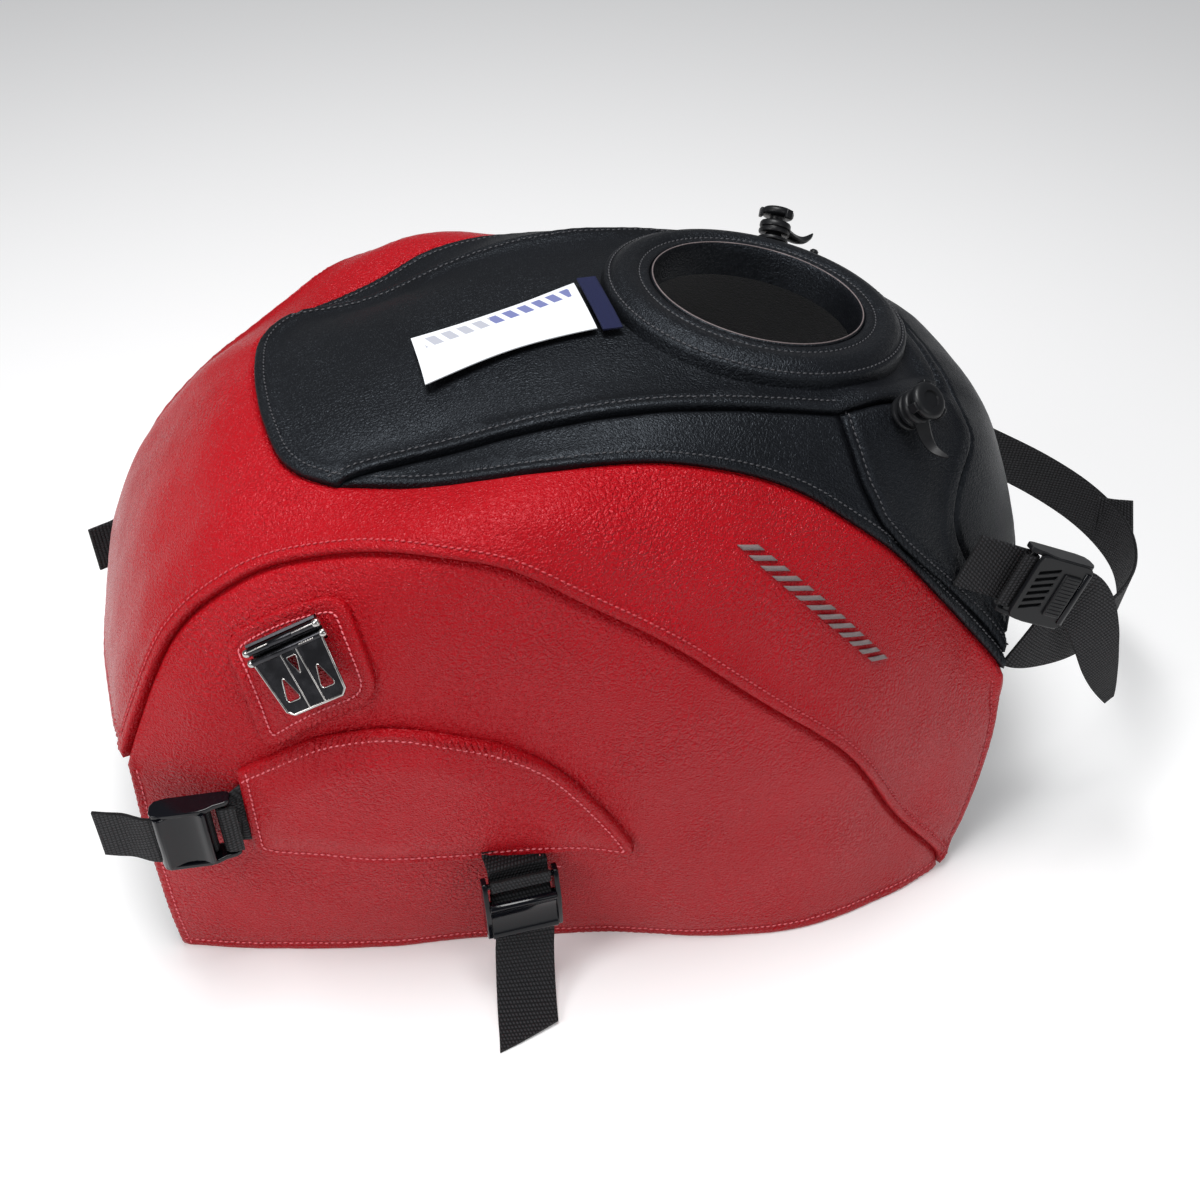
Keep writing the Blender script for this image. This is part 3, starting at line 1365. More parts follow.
@dataclass
class FillerRing:
    """The padded ring around the filler opening, with the lip that lines its edge."""

    wardrobe: Wardrobe
    centre: tuple[float, float, float] = (FILLER_X, 0.0, 275.0)
    tilt: float = 11.0
    inner: float = 55.0
    outer: float = 77.0

    def spot(self) -> Spot:
        """The ring's frame, with n along its axis."""
        c, s = math.cos(math.radians(self.tilt)), math.sin(math.radians(self.tilt))
        u, n = np.array((c, 0.0, -s)), np.array((s, 0.0, c))
        return Spot(np.array(self.centre), u, np.cross(n, u), n)

    def circle(self, radius: float, height: float) -> tuple[Array, Array]:
        """A closed line around the ring and its outward directions."""
        spot = self.spot()
        angles = np.linspace(0, math.tau, 181)
        local = np.column_stack([radius * np.cos(angles), radius * np.sin(angles), np.full(181, height)])
        return spot.out(local), np.tile(spot.n, (181, 1))

    def build(self) -> None:
        """Builds the ring, its lip and its two rows of stitches."""
        spot, a, b = self.spot(), self.inner, self.outer
        profile = [(a, 1.0), (a, 7.6), (a + 0.6, 8.5), (a + 2.0, 8.9), (a + 4.4, 8.6), (a + 5.4, 8.0),
                   (a + 6.4, 8.7), (a + 9.0, 9.4), (a + 12.0, 9.5), (a + 15.0, 8.9), (a + 17.4, 7.6),
                   (a + 19.0, 6.0), (a + 19.8, 5.2), (a + 20.6, 5.2), (b - 0.4, 4.9), (b + 0.3, 4.2),
                   (b + 0.6, 2.6), (b + 0.9, 0.4), (b + 1.2, -2.5), (b - 4.0, -2.5), (a + 6, -1.0)]
        ring = spot.lathe("cap_ring", profile, self.wardrobe.black, 160, closed=True, sharp=60)
        settle(ring, COVER, "leatherette_black", ["cap_ring"])
        lip = [(a - 0.2, 8.3), (a - 0.7, 9.0), (a - 1.5, 9.1), (a - 2.0, 8.4), (a - 2.2, 4.0),
               (a - 2.4, -8.6), (a - 1.2, -9.0), (a - 0.3, -8.4)]
        liner = spot.lathe("cap_lip", lip, self.wardrobe.black, 120, closed=True, sharp=60)
        settle(liner, COVER, "leatherette_black", ["cap_lip"])
        runs = [self.circle(a + 5.4, 8.25), self.circle(a + 20.2, 5.4)]
        sewn = NEEDLE.sew("cap_ring_stitches", runs, self.wardrobe.black_thread)
        settle(sewn, COVER, "leatherette_black")
        line = self.circle(a - 1.1, 9.1)[0][:-1]
        edge = rod("cap_lip_cut_edge", line, 0.35, self.wardrobe.grey_thread, True, 6)
        settle(edge, COVER, "leatherette_black")


@dataclass
class BagCatch:
    """A bag catch on its sewn patch: a rolled base bar and a hinged plate with three openings."""

    wardrobe: Wardrobe
    side: Side
    corners: tuple[tuple[float, float], ...] = (
        (0.145, 0.525), (0.305, 0.545), (0.330, 0.665), (0.166, 0.697))
    half: float = 18.5
    drop: float = 29.0

    def patch(self) -> Panel:
        """The red patch."""
        outline = self.side.flip(rounded(self.corners, 0.2, 8))
        closed = np.vstack([outline, outline[:1]])
        centre = tuple(outline.mean(axis=0))
        ring = resample(closed, 2.5)
        stitched = beside(ring, 6.0, centre)
        return Panel(f"catch_patch_{self.side.value}", [closed], frees=[ring], stitches=[stitched], lift=3.2,
                     thick=3.3, round_edge=1.1, wave=0.5, pitch=4.0, edge_pitch=3.0)

    def spot(self) -> Spot:
        """The hinge frame."""
        outward = normal(self.side.flip(np.array([[0.232, 0.587]])))[0]
        return Spot.on_axis(f"catch_hinge_{self.side.value}", outward)

    def base(self) -> Object:
        """The rolled bar above the hinge, in three lengths on one foot."""
        spot, steel, bright = self.spot(), self.wardrobe.steel, self.wardrobe.bright
        pieces = []
        third = 2 * self.half / 3
        for k in range(3):
            start = -self.half + k * third + 0.25
            stop = start + third - 0.5
            roll = [(-5.0, start, 0.2), (-5.0, stop, 0.2)]
            pieces.append(spot.tube(f"roll_{k}", roll, 1.9, steel, sides=14))
        for end in (-self.half, self.half):
            cap = [(-5.0, end - 0.6, 0.2), (-5.0, end + 0.6, 0.2)]
            glint = [(-5.6, end * 0.96, 1.75), (-5.6, end * 0.36, 1.75)]
            pieces.append(spot.tube("cap", cap, 2.05, bright, sides=14))
            pieces.append(spot.tube("glint", glint, 0.45, bright, sides=6))
        foot = [(-8.4, -3.0), (3.2, -3.0), (3.4, -2.5), (-6.4, -2.2), (-7.2, -0.6), (-8.3, -1.0)]
        pieces.append(spot.prism("foot", foot, [self.half] * 6, steel))
        return merged(f"catch_base_{self.side.value}", pieces)

    def plate(self) -> Object:
        """The hinged plate: a rolled top, a trapezoid leaf with a beaded rim, two ribs and three openings."""
        spot, steel, bright = self.spot(), self.wardrobe.steel, self.wardrobe.bright
        half, drop = self.half, self.drop
        lean = 3.0
        outline = [(1.2, -half), (1.2, half), (drop - 3, half - lean + 0.4), (drop, half - lean - 2.4),
                   (drop, -half + lean + 2.4), (drop - 3, -half + lean - 0.4)]
        holes = []
        for middle in (-9.2, 9.2):
            holes.append(rounded([(10.0, middle), (22.5, middle + 4.0), (22.5, middle - 4.0)], 0.25, 5))
        holes.append(rounded([(3.6, -2.8), (3.6, 2.8), (13.0, 0.0)], 0.2, 4))
        openings = [[tuple(p) for p in hole[::-1]] for hole in holes]
        leaf = bevelled(spot.plate("leaf", outline, openings, -0.45, 0.5, steel), 0.15, 1)
        roll = [(0.0, -half - 0.4, 0.0), (0.0, half + 0.4, 0.0)]
        pieces = [leaf, spot.tube("roll", roll, 1.9, steel, sides=14)]
        for end in (-half - 0.5, half + 0.5):
            cap = [(0.0, end - 0.5, 0.0), (0.0, end + 0.5, 0.0)]
            pieces.append(spot.tube("cap", cap, 2.0, bright, sides=14))
        rim = [(2.0, -half + 0.5, 0.4), (drop - 3, -half + lean, 0.4), (drop - 0.7, -half + lean + 2.6, 0.4),
               (drop - 0.7, half - lean - 2.6, 0.4), (drop - 3, half - lean, 0.4), (2.0, half - 0.5, 0.4)]
        pieces.append(spot.tube("rim", rim, 0.62, bright, sides=8))
        for middle in (-4.1, 4.1):
            rib = [(1.5, middle, 0.5), (drop - 1.5, middle, 0.5)]
            pieces.append(spot.tube("rib", rib, 0.5, bright, sides=8))
        for hole in holes:
            ring = np.column_stack([hole, np.full(len(hole), 0.45)])
            pieces.append(spot.tube("eyelet", ring, 0.34, bright, closed=True, sides=6))
        for k in range(7):
            place = 7.0 + 1.15 * k
            bump = [(0.2, place, 1.7), (0.2, place + 0.5, 1.75)]
            pieces.append(spot.tube("crimp", bump, 0.42 + 0.08 * (k % 2), bright, sides=6))
        return merged(f"catch_plate_{self.side.value}", pieces)

    def build(self) -> None:
        """Builds the patch, the base and the plate."""
        name = self.side.value
        panel = self.patch()
        piece = panel.build(self.wardrobe.red, self.wardrobe.red)
        settle(piece, COVER, "leatherette_red", [panel.name])
        runs = NEEDLE.along(panel, panel.stitches)
        sewn = NEEDLE.sew(f"{panel.name}_stitches", runs, self.wardrobe.pale_thread, 2.7)
        settle(sewn, COVER, "leatherette_red")
        settle(self.base(), COVER, "steel_dark", [f"catch_base_{name}"])
        settle(self.plate(), f"catch_{name}", "steel_dark", [f"catch_plate_{name}"])


@dataclass
class StrapFlap:
    """The padded half-moon flap that covers the webbing's root."""

    wardrobe: Wardrobe
    side: Side

    def panel(self) -> Panel:
        """The flap as a panel."""
        arch = [(0.128, 0.705), (0.20, 0.700), (0.26, 0.696), (0.33, 0.695), (0.40, 0.701), (0.46, 0.714),
                (0.52, 0.742), (0.565, 0.784), (0.586, 0.818)]
        base = [(0.582, 0.829), (0.56, 0.834), (0.50, 0.838), (0.42, 0.841), (0.34, 0.842), (0.26, 0.838),
                (0.19, 0.828), (0.145, 0.818), (0.128, 0.800)]
        ring = np.vstack([free_curve(arch), free_curve(base)])
        closed = self.side.flip(np.vstack([ring, ring[:1]]))
        even = resample(closed, 2.5)
        stitched = beside(even, 4.6, tuple(closed.mean(axis=0)))
        return Panel(f"strap_flap_{self.side.value}", [closed], frees=[even], stitches=[stitched], lift=4.6,
                     thick=4.2, round_edge=2.2, puff=3.4, wave=0.7, pitch=4.5, edge_pitch=3.0)

    def loose_end(self) -> Object:
        """The thread's loose ends at the flap's lower corner."""
        share = np.linspace(0, 1, 9)
        strands = []
        for k, (lean, drop) in enumerate(((0.008, 0.044), (0.016, 0.040), (0.020, 0.022))):
            rows = np.column_stack([0.487 + lean * share**1.4, 0.838 + drop * share])
            line = raised(self.side.flip(rows), 4.2 - 1.2 * share + 1.5 * np.sin(math.pi * share))
            strands.append(rod(f"strand_{k}", line, 0.34, self.wardrobe.pale_thread, sides=6))
        return merged(f"loose_thread_{self.side.value}", strands)

    def build(self) -> None:
        """Builds the flap, its stitches and its loose thread."""
        panel = self.panel()
        piece = panel.build(self.wardrobe.red, self.wardrobe.red)
        settle(piece, COVER, "leatherette_red", [panel.name])
        runs = NEEDLE.along(panel, panel.stitches)
        sewn = NEEDLE.sew(f"{panel.name}_stitches", runs, self.wardrobe.pale_thread)
        settle(sewn, COVER, "leatherette_red")
        settle(self.loose_end(), COVER, "leatherette_red")


@dataclass
class BagHook:
    """A spool-shaped post with a claw that swivels on its stem, and a small rivet beside it."""

    wardrobe: Wardrobe
    side: Side
    heading: tuple[float, float, float]
    top: float = 19.0

    def build(self) -> None:
        """Builds the post and the claw."""
        name, plastic = self.side.value, self.wardrobe.hook
        spot = Spot.on_stem(f"hook_swivel_{name}", self.side.turn(self.heading))
        top = self.top
        post = [(0.05, 0.0), (7.6, 0.0), (8.5, 0.5), (8.7, 1.2), (8.3, 2.2), (6.8, 2.7), (4.7, 3.0),
                (4.3, 3.6), (4.2, top - 5.4), (4.6, top - 4.9), (7.4, top - 4.8), (8.5, top - 4.4),
                (9.0, top - 3.6), (9.1, top - 2.2), (8.8, top - 1.2), (7.9, top - 0.4), (6.4, top),
                (4.4, top), (4.1, top - 0.9), (0.05, top - 1.0)]
        stem = spot.lathe("post", post, plastic, 48)
        clips = []
        for angle in (35, 155, 275):
            c, s = math.cos(math.radians(angle)), math.sin(math.radians(angle))
            u, w = spot.u * c + spot.w * s, spot.w * c - spot.u * s
            turned = Spot(spot.origin, u, w, spot.n)
            clip = turned.block("clip", (8.2, -2.2, top - 6.2), (10.2, 2.2, top - 1.2), plastic)
            clips.append(bevelled(clip, 0.5))
        settle(merged(f"hook_post_{name}", [stem] + clips), COVER, "plastic_black", [f"hook_post_{name}"])
        settle(self.claw(spot), f"hook_{name}", "plastic_black", [f"hook_claw_{name}"])
        settle(self.rivet(), COVER, "plastic_black")

    def claw(self, spot: Spot) -> Object:
        """The swivelling claw: a grooved collar, and an arm that rises to a pointed tip."""
        plastic = self.wardrobe.hook
        collar = [(4.8, 4.4), (7.6, 4.3), (8.5, 4.7), (8.8, 5.4), (8.7, 6.4), (7.9, 6.9), (7.8, 7.4),
                  (8.6, 7.9), (8.8, 8.6), (8.7, 10.2), (8.2, 11.0), (7.4, 11.4), (4.8, 11.4)]
        pieces = [spot.lathe("collar", collar, plastic, 48, closed=True)]
        # u and n of the arm's middle, then its half width and its thickness
        stations = ((6.5, 7.8, 4.9, 3.4), (10.0, 7.0, 4.7, 3.0), (14.0, 6.3, 4.3, 2.6),
                    (18.0, 6.4, 3.6, 2.3), (21.5, 7.4, 2.8, 2.0), (24.3, 9.4, 2.0, 1.6),
                    (26.2, 11.4, 1.2, 1.2), (27.3, 13.5, 0.4, 0.4))
        spine = np.array([(u, n) for u, n, _, _ in stations])
        knots = np.arange(len(spine), dtype=float)
        fine = np.linspace(0, knots[-1], 29)
        line = through(spine, knots, fine)
        half = np.interp(fine, knots, [row[2] for row in stations])
        deep = np.interp(fine, knots, [row[3] for row in stations])
        tangent = unit(np.gradient(line, axis=0))
        points, sides = [], 12
        for here, forward, wide, tall in zip(line, tangent, half, deep):
            up = np.array((-forward[1], forward[0]))
            for k in range(sides):
                a = math.tau * k / sides
                x, y = math.cos(a), math.sin(a)
                ridge = 1.25 * (1.0 - abs(x)) if y > 0 else 0.8 * y
                place = here + up * ridge * tall
                points.append((place[0], x * wide, place[1]))
        pieces.append(solid("arm", spot.out(np.array(points)), sleeve(len(line), sides), [plastic], sharp=35))
        return merged(f"hook_claw_{self.side.value}", pieces)

    def rivet(self) -> Object:
        """The small stud on the shoulder beside the hook."""
        at = self.side.flip(np.array([[0.872, 0.325]]))
        n = normal(at)[0]
        u = unit(np.cross(n, (0.0, 0.0, 1.0)))
        spot = Spot(raised(at, 0.6)[0], u, np.cross(n, u), n)
        profile = [(0.05, 0.0), (3.2, 0.0), (3.2, 0.8), (1.9, 1.4), (1.8, 3.2), (2.5, 4.0), (2.4, 5.2),
                   (1.4, 6.0), (0.05, 6.1)]
        return spot.lathe(f"rivet_{self.side.value}", profile, self.wardrobe.hook, 24)


class BuckleStyle(Enum):
    """How a buckle's bridge is finished."""

    PLAIN = "plain"
    GRIP = "grip"


@dataclass
class StrapSet:
    """One buckle with its sewn anchor webbing and its adjustable strap."""

    wardrobe: Wardrobe
    side: Side
    place: str
    outward: tuple[float, float, float]
    free: tuple[tuple[float, float, float], ...]
    roots: tuple[tuple[float, float], ...]
    style: BuckleStyle = BuckleStyle.PLAIN
    slant: float = 0.0
    taper: float = 0.0
    sewn: tuple[tuple[float, float], ...] = ()
    gap: float = 13.0
    leg: float = 3.4

    def spot(self) -> Spot:
        """The frame on the anchor bar."""
        return Spot.on_axis(f"{self.place}_buckle_hinge_{self.side.value}", self.side.turn(self.outward))

    def bridge_plain(self, spot: Spot) -> list[Object]:
        """A glossy bridge with a rolled upper lip and a hollow face."""
        top = [(7.6, 5.0), (7.3, 6.4), (7.8, 7.8), (9.0, 8.5), (10.2, 8.1), (11.4, 7.1), (13.5, 6.3),
               (17.0, 5.8), (21.0, 5.8), (24.5, 6.4), (27.0, 7.5), (28.3, 8.2), (29.6, 8.3), (30.8, 7.5),
               (32.4, 5.6), (33.2, 4.2), (31.6, 4.4), (16.0, 4.6), (9.0, 4.6)]
        return [bevelled(spot.prism("bridge", top, [16.6] * len(top), self.wardrobe.gloss), 0.35)]

    def bridge_grip(self, spot: Spot) -> list[Object]:
        """A satin bridge with slanted slots on one half and a ribbed grip on the other."""
        satin = self.wardrobe.satin
        outline = rounded([(0.6, -18.2), (0.6, 18.2), (32.6, 18.2), (32.6, -18.2)], 0.14, 5)
        slots = []
        for k in range(6):
            w = -10.5 + 4.0 * k
            slots.append([(3.6, w - 1.6), (3.6, w + 0.2), (14.6, w + 4.2), (14.6, w + 2.4)])
        face = spot.plate("face", [tuple(p) for p in outline], [s[::-1] for s in slots], 5.8, 7.6, satin)
        back = spot.plate("back", [tuple(p) for p in outline * 0.985 + (0.25, 0.0)], [], 5.0, 5.9, satin)
        grip = bevelled(spot.block("grip", (17.6, -12.0, 6.9), (27.6, 12.0, 9.0), satin), 0.8, 3)
        pieces = [bevelled(face, 0.3, 1), back, grip]
        for k in range(11):
            w = -10.0 + 2.0 * k
            pieces.append(spot.tube("rib", [(18.8, w, 9.0), (26.4, w, 9.0)], 0.42, satin, sides=6))
        lip = [(28.2, 6.6), (28.6, 8.4), (30.0, 9.0), (31.8, 8.4), (33.2, 6.6), (33.4, 5.0), (29.0, 5.0)]
        pieces.append(bevelled(spot.prism("lip", lip, [15.0] * len(lip), self.wardrobe.gloss), 0.5))
        return pieces

    def buckle(self) -> Object:
        """The buckle: side rails, two bars and its bridge."""
        spot = self.spot()
        plastic = self.wardrobe.gloss if self.style is BuckleStyle.PLAIN else self.wardrobe.satin
        rail = [(-3.9, -2.2), (-2.8, -3.9), (-0.4, -4.5), (26.0, -4.5), (31.0, -3.4), (33.0, -0.6),
                (33.2, 3.6), (31.8, 6.0), (29.5, 7.0), (10.5, 7.2), (7.0, 6.4), (3.4, 4.6), (-1.4, 3.6),
                (-3.6, 2.0)]
        pieces = []
        for w in (-17.75, 17.75):
            pieces.append(bevelled(spot.prism("rail", rail, [1.25] * len(rail), plastic, w), 0.5, 3))
        for u in (0.0, self.gap):
            pieces.append(spot.tube("bar", [(u, -17.0, 0.0), (u, 17.0, 0.0)], 1.45, plastic, sides=10))
        make = self.bridge_plain if self.style is BuckleStyle.PLAIN else self.bridge_grip
        return merged(f"{self.place}_buckle_{self.side.value}", pieces + make(spot))

    def tail(self) -> Object:
        """The adjustable strap: the long leg over the adjuster bar, round it and back below."""
        spot, leg = self.spot(), self.leg
        turn = np.radians(np.linspace(90, 270, 7))
        local = [(35.0, 0.0, leg), (24.0, 0.0, leg), (18.0, 0.0, leg)]
        local += [(self.gap + 1.8 * leg * math.cos(a), 0.0, leg * math.sin(a)) for a in turn]
        local += [(u, 0.0, -leg) for u in (20.0, 27.0, 34.0)]
        free = [self.side.turn((x - ORIGIN_X, y, z)) for x, y, z in self.free]
        path = np.vstack([np.array(free), spot.out(np.array(local))])
        return Strap(f"{self.place}_strap_{self.side.value}", path, spot.w, slant=self.slant,
                     taper=self.taper).build(self.wardrobe.webbing)

    def anchor(self) -> Object:
        """The short webbing from its sewn root, round the anchor bar."""
        spot, leg = self.spot(), self.leg
        turn = np.radians(np.linspace(-90, 90, 7))
        local = [(u, 0.0, n) for u, n in self.roots] + [(-5.6, 0.0, -leg)]
        local += [(leg * math.cos(a) * 0.9, 0.0, leg * math.sin(a)) for a in turn]
        local += [(-5.6, 0.0, leg - 0.4)]
        path = spot.out(np.array(local))
        if self.sewn:
            path = np.vstack([raised(self.side.flip(self.sewn), 0.8), path])
        strap = Strap(f"{self.place}_anchor_{self.side.value}", path, spot.w, step=1.6)
        return strap.build(self.wardrobe.webbing)

    def build(self) -> None:
        """Builds the three pieces on their bodies."""
        name = f"{self.place}_strap_{self.side.value}_set"
        ridden = (("buckle", self.buckle(), "plastic_black"), ("strap", self.tail(), "webbing_black"))
        for kind, piece, slot in ridden:
            settle(piece, name, slot, [f"{self.place}_{kind}_{self.side.value}"])
        settle(self.anchor(), COVER, "webbing_black", [f"{self.place}_anchor_{self.side.value}"])


@dataclass
class FrontLoop:
    """The strap that runs round the steering head, with a short end that stands off at its bend."""

    wardrobe: Wardrobe
    route: tuple[tuple[float, float, float], ...] = (
        (186, -131, 137), (203, -128, 130), (232, -117, 121), (262, -99, 114), (286, -76, 110),
        (300, -50, 109), (304, -24, 109), (300, 4, 110), (288, 32, 112), (270, 58, 115),
        (248, 84, 119), (222, 108, 124), (200, 124, 130), (187, 131, 137))
    end_route: tuple[tuple[float, float, float], ...] = (
        (301, -14, 109.5), (306, -18, 110), (312, -23, 111), (317, -29, 113))

    def build(self) -> None:
        """Builds the loop and its end."""
        across = np.array((0.15, 0.0, 1.0))
        for name, route, nodes in (("front_loop_strap", self.route, ["front_loop_strap"]),
                                   ("front_loop_end", self.end_route, [])):
            path = np.array(route, float) - (ORIGIN_X, 0, 0)
            settle(Strap(name, path, across).build(self.wardrobe.webbing), COVER, "webbing_black", nodes)


@dataclass
class SwingTag:
    """A blank card hung from a woven label that is sewn under the ring."""

    wardrobe: Wardrobe
    sheet: tuple[tuple[float, float], ...] = ((0.604, -0.062), (0.604, 0.095), (0.437, 0.168), (0.435, 0.013))
    label_lift: float = 4.2

    def corner_blend(self, u: Array, v: Array) -> Array:
        """(t, s) of the card at u along its hinge and v away from it."""
        a, b, c, d = (np.array(p) for p in self.sheet)
        u, v = u[:, None], v[:, None]
        side = 0.010 * np.sin(v * math.pi) * (1 - 2 * u)
        flat = (1 - u) * (1 - v) * a + u * (1 - v) * b + u * v * c + (1 - u) * v * d
        return flat + side * (0.0, 1.0)

    def card(self) -> Object:
        """The card, curling up from the tongue at its far corners."""
        count = 40
        grid = np.linspace(0, 1, count + 1)
        u, v = (a.ravel() for a in np.meshgrid(grid, grid, indexing="ij"))
        rows = self.corner_blend(u, v)
        curl = (3.2 + 2.2 * v**2 * (1.0 - 0.6 * u) + 1.6 * (u - 0.5) ** 2 * v * 4
                - 1.2 * np.sin(v * math.pi) * 0.5)
        top, low = raised(rows, curl + 0.25), raised(rows, curl - 0.25)
        size = (count + 1) ** 2
        wide = count + 1
        faces = []
        for i in range(count):
            for k in range(count):
                quad = (i * wide + k, (i + 1) * wide + k, (i + 1) * wide + k + 1, i * wide + k + 1)
                faces += [quad, tuple(size + q for q in quad[::-1])]
        border = list(range(count)) + [i * wide + count for i in range(count)]
        border += [count * wide + k for k in range(count, 0, -1)] + [i * wide for i in range(count, 0, -1)]
        for a, b in zip(border, border[1:] + border[:1]):
            faces.append((a, b, b + size, a + size))
        piece = solid("swing_tag", np.vstack([top, low]), faces, [self.wardrobe.card], sharp=50)
        lay_uv(piece, "sheet", np.column_stack([1 - np.tile(v, 2), 1 - np.tile(u, 2)]))
        return piece

    def tab(self) -> Object:
        """The woven label, folded over the card's edge."""
        front, rear = point(np.array([(0.627, -0.068), (0.6075, -0.068)]))
        line = free_curve([(0.6172, -0.068), (0.6172, 0.02), (0.6172, 0.105)])
        width = float(np.linalg.norm(rear - front))
        return Strap("label_tab", raised(line, self.label_lift), unit(rear - front), width=width, thick=0.9,
                     step=2.0).build(self.wardrobe.label)

    def build(self) -> None:
        """Builds the card and its label."""
        settle(self.card(), "tag", "card_white", ["swing_tag"])
        settle(self.tab(), COVER, "label_blue", ["label_tab"])


@dataclass
class Motif:
    """A plain embroidered motif: a rising row of slanted satin-stitch bars."""

    wardrobe: Wardrobe
    side: Side
    low: tuple[tuple[float, float], ...] = ((0.690, 0.481), (0.808, 0.582))
    high: tuple[tuple[float, float], ...] = ((0.669, 0.481), (0.782, 0.582))
    bars: int = 13
    rows: int = 8
    columns: int = 6
    depth: float = 1.2

    def bar(self, start: float) -> Array:
        """The face of the bar that begins at a share of the motif's length."""
        low, high = np.array(self.low), np.array(self.high)
        stop = start + 0.52 / self.bars
        tall = 0.55 + 0.45 * math.sin(math.pi * (0.25 + 0.6 * start))
        points = []
        for a in np.linspace(0, 1, self.rows + 1):
            for b in np.linspace(0, 1, self.columns + 1):
                v = a * tall
                u = start + (stop - start) * b + 0.02 * a
                foot = low[0] + (low[1] - low[0]) * u
                head = high[0] + (high[1] - high[0]) * u
                spot = self.side.flip(np.array([foot + (head - foot) * v]))
                swell = 0.55 + 1.0 * math.sin(math.pi * b) ** 0.6 * min(1.0, 6 * a, 6 * (1 - a) + 0.2)
                points.append(raised(spot, swell)[0])
        return np.array(points)

    def build(self) -> None:
        """Sews the bars onto the saddle panel."""
        sink = normal(self.side.flip(np.array(self.low[:1])))[0] * self.depth
        wide = self.columns + 1
        corners = [i * wide + j for i in range(self.rows) for j in range(self.columns)]
        cells = [(one, one + 1, one + wide + 1, one + wide) for one in corners]
        wall = self.rim(self.rows, self.columns)
        points, faces, start = [], [], 0
        for k in range(self.bars):
            cloud = self.bar(k / self.bars)
            size = len(cloud)
            points += [cloud, cloud - sink]
            faces += [tuple(start + v for v in cell) for cell in cells]
            faces += [tuple(start + size + v for v in cell[::-1]) for cell in cells]
            faces += [(start + a, start + b, start + size + b, start + size + a) for a, b in wall]
            start += 2 * size
        piece = solid(f"embroidery_{self.side.value}", np.vstack(points), faces, [self.wardrobe.grey_thread],
                      sharp=70)
        settle(piece, COVER, "leatherette_red")

    @staticmethod
    def rim(rows: int, columns: int) -> list[tuple[int, int]]:
        """Edges around a grid of cells."""
        wide = columns + 1
        ring = list(range(wide)) + [i * wide + columns for i in range(1, rows + 1)]
        ring += [rows * wide + j for j in range(columns - 1, -1, -1)]
        ring += [i * wide for i in range(rows - 1, 0, -1)]
        return list(zip(ring, ring[1:] + ring[:1]))


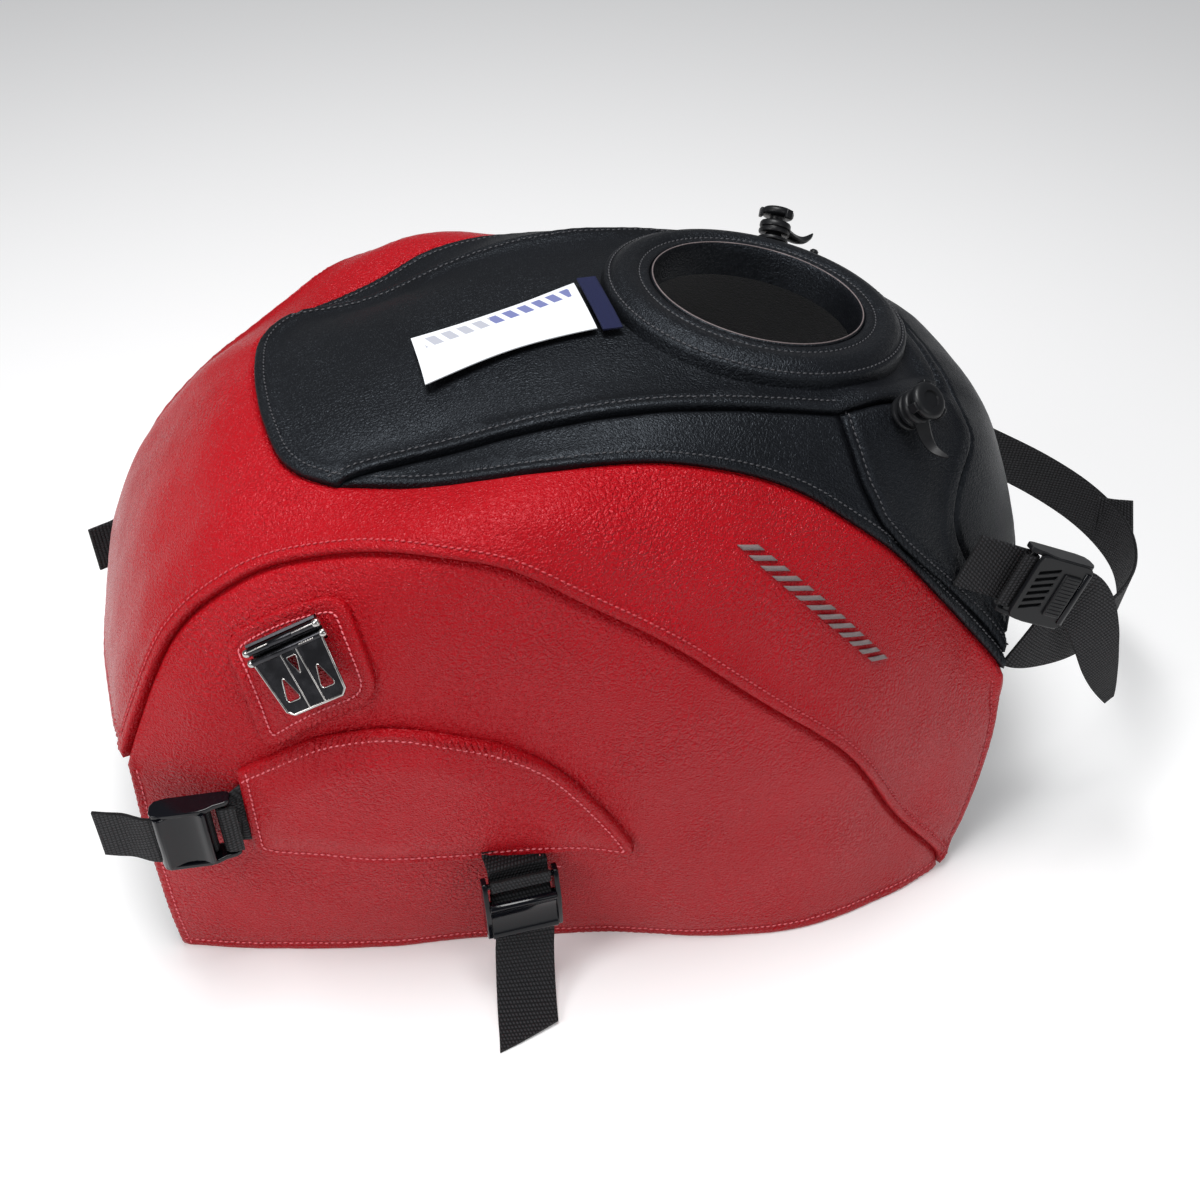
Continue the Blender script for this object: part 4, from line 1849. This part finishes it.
@dataclass
class Studio:
    """A pale floor, soft lights and the camera."""

    wardrobe: Wardrobe
    camera_place: tuple[float, float, float] = (-0.1841, -0.6289, 0.6465)
    azimuth: float = -15.0
    elevation: float = 40.0
    lens: float = 45.0
    sky_strength: float = 0.17
    floor_half: float = 20.0

    def camera(self) -> None:
        """Sets the scene's camera."""
        data = bpy.data.cameras.new("view")
        data.lens = self.lens
        data.sensor_width = 36.0
        data.clip_end = 20.0
        camera = added("view", data)
        camera.location = self.camera_place
        camera.rotation_euler = (math.radians(90 - self.elevation), 0.0, math.radians(self.azimuth))
        bpy.context.scene.camera = camera

    def light(self, name: str, place: Sequence[float], aim: Sequence[float], size: tuple[float, float],
              power: float) -> None:
        """Adds a soft area light that faces a spot."""
        data = bpy.data.lights.new(name, "AREA")
        data.shape = "RECTANGLE"
        data.size, data.size_y = size
        data.energy = power
        lamp = added(name, data)
        lamp.location = place
        lamp.rotation_euler = (Vector(aim) - Vector(place)).to_track_quat("-Z", "Y").to_euler()

    def build(self) -> None:
        """Builds the studio."""
        scene = bpy.context.scene
        scene.view_settings.view_transform = "Standard"
        world = bpy.data.worlds.new("studio")
        world.use_nodes = True
        sky = world.node_tree.nodes["Background"].inputs
        sky["Color"].default_value = (0.93, 0.95, 1.0, 1.0)
        sky["Strength"].default_value = self.sky_strength
        scene.world = world
        mesh = bpy.data.meshes.new("floor")
        size = self.floor_half
        corners = [(-size, -size, 0), (size, -size, 0), (size, size, 0), (-size, size, 0)]
        mesh.from_pydata(corners, [], [(0, 1, 2, 3)])
        mesh.materials.append(self.wardrobe.floor)
        added("floor", mesh)
        self.light("overhead", (-0.14, -0.02, 1.5), (0.0, 0.0, 0.2), (0.75, 0.5), 18.0)
        self.light("window", (-1.1, -0.5, 0.9), (-0.1, 0.0, 0.15), (0.5, 0.7), 6.5)
        self.light("fill", (0.6, -1.4, 0.8), (0.0, 0.0, 0.12), (0.7, 0.5), 2.8)
        self.camera()


REAR_ROUTE = ((-275, -112.0, 107), (-268, -114.8, 107.2), (-261, -117.5, 107.5))
LOWER_ROUTE = ((-92, -211.0, 1.6), (-90.5, -203.0, 1.8), (-89, -193.0, 3.2), (-87.5, -184.0, 7.5),
               (-86, -176.0, 15.5), (-84.5, -169.5, 27.0))
FRONT_ROUTE = ((249, -133.0, 84), (245, -134.5, 93), (238, -136.8, 108), (232, -138.0, 122),
               (226, -138.6, 138), (218, -138.6, 156))
HOOK_HEADINGS = {Side.RIGHT: (0.25, -0.75, -0.6), Side.LEFT: (1.0, -0.25, -0.3)}


def strap_sets(wardrobe: Wardrobe, side: Side) -> list[StrapSet]:
    """The three strap sets of one side."""
    return [
        StrapSet(wardrobe, side, "rear", (-0.1, -1.0, 0.0), REAR_ROUTE, ((-7.0, -3.4),),
                 sewn=((0.172, 0.752), (0.145, 0.750))),
        StrapSet(wardrobe, side, "lower", (0.0, -1.0, 0.03), LOWER_ROUTE, ((-6.8, -3.5),),
                 slant=15.0, sewn=((0.455, 0.831), (0.455, 0.837))),
        StrapSet(wardrobe, side, "front", (-0.06, -1.0, 0.10), FRONT_ROUTE,
                 ((-28.0, -4.6), (-18.0, -4.0)), BuckleStyle.GRIP, taper=0.78),
    ]


def main() -> None:
    """Builds and dresses every sub-assembly in order."""
    logging.basicConfig(level=logging.INFO, format="%(name)s %(message)s")
    wardrobe = Wardrobe()
    Studio(wardrobe).build()
    Shell(wardrobe).build()
    FillerRing(wardrobe).build()
    for side in Side:
        BagCatch(wardrobe, side).build()
        StrapFlap(wardrobe, side).build()
        BagHook(wardrobe, side, HOOK_HEADINGS[side]).build()
        for strap_set in strap_sets(wardrobe, side):
            strap_set.build()
        Motif(wardrobe, side).build()
    FrontLoop(wardrobe).build()
    SwingTag(wardrobe).build()


if __name__ == "__main__":
    main()
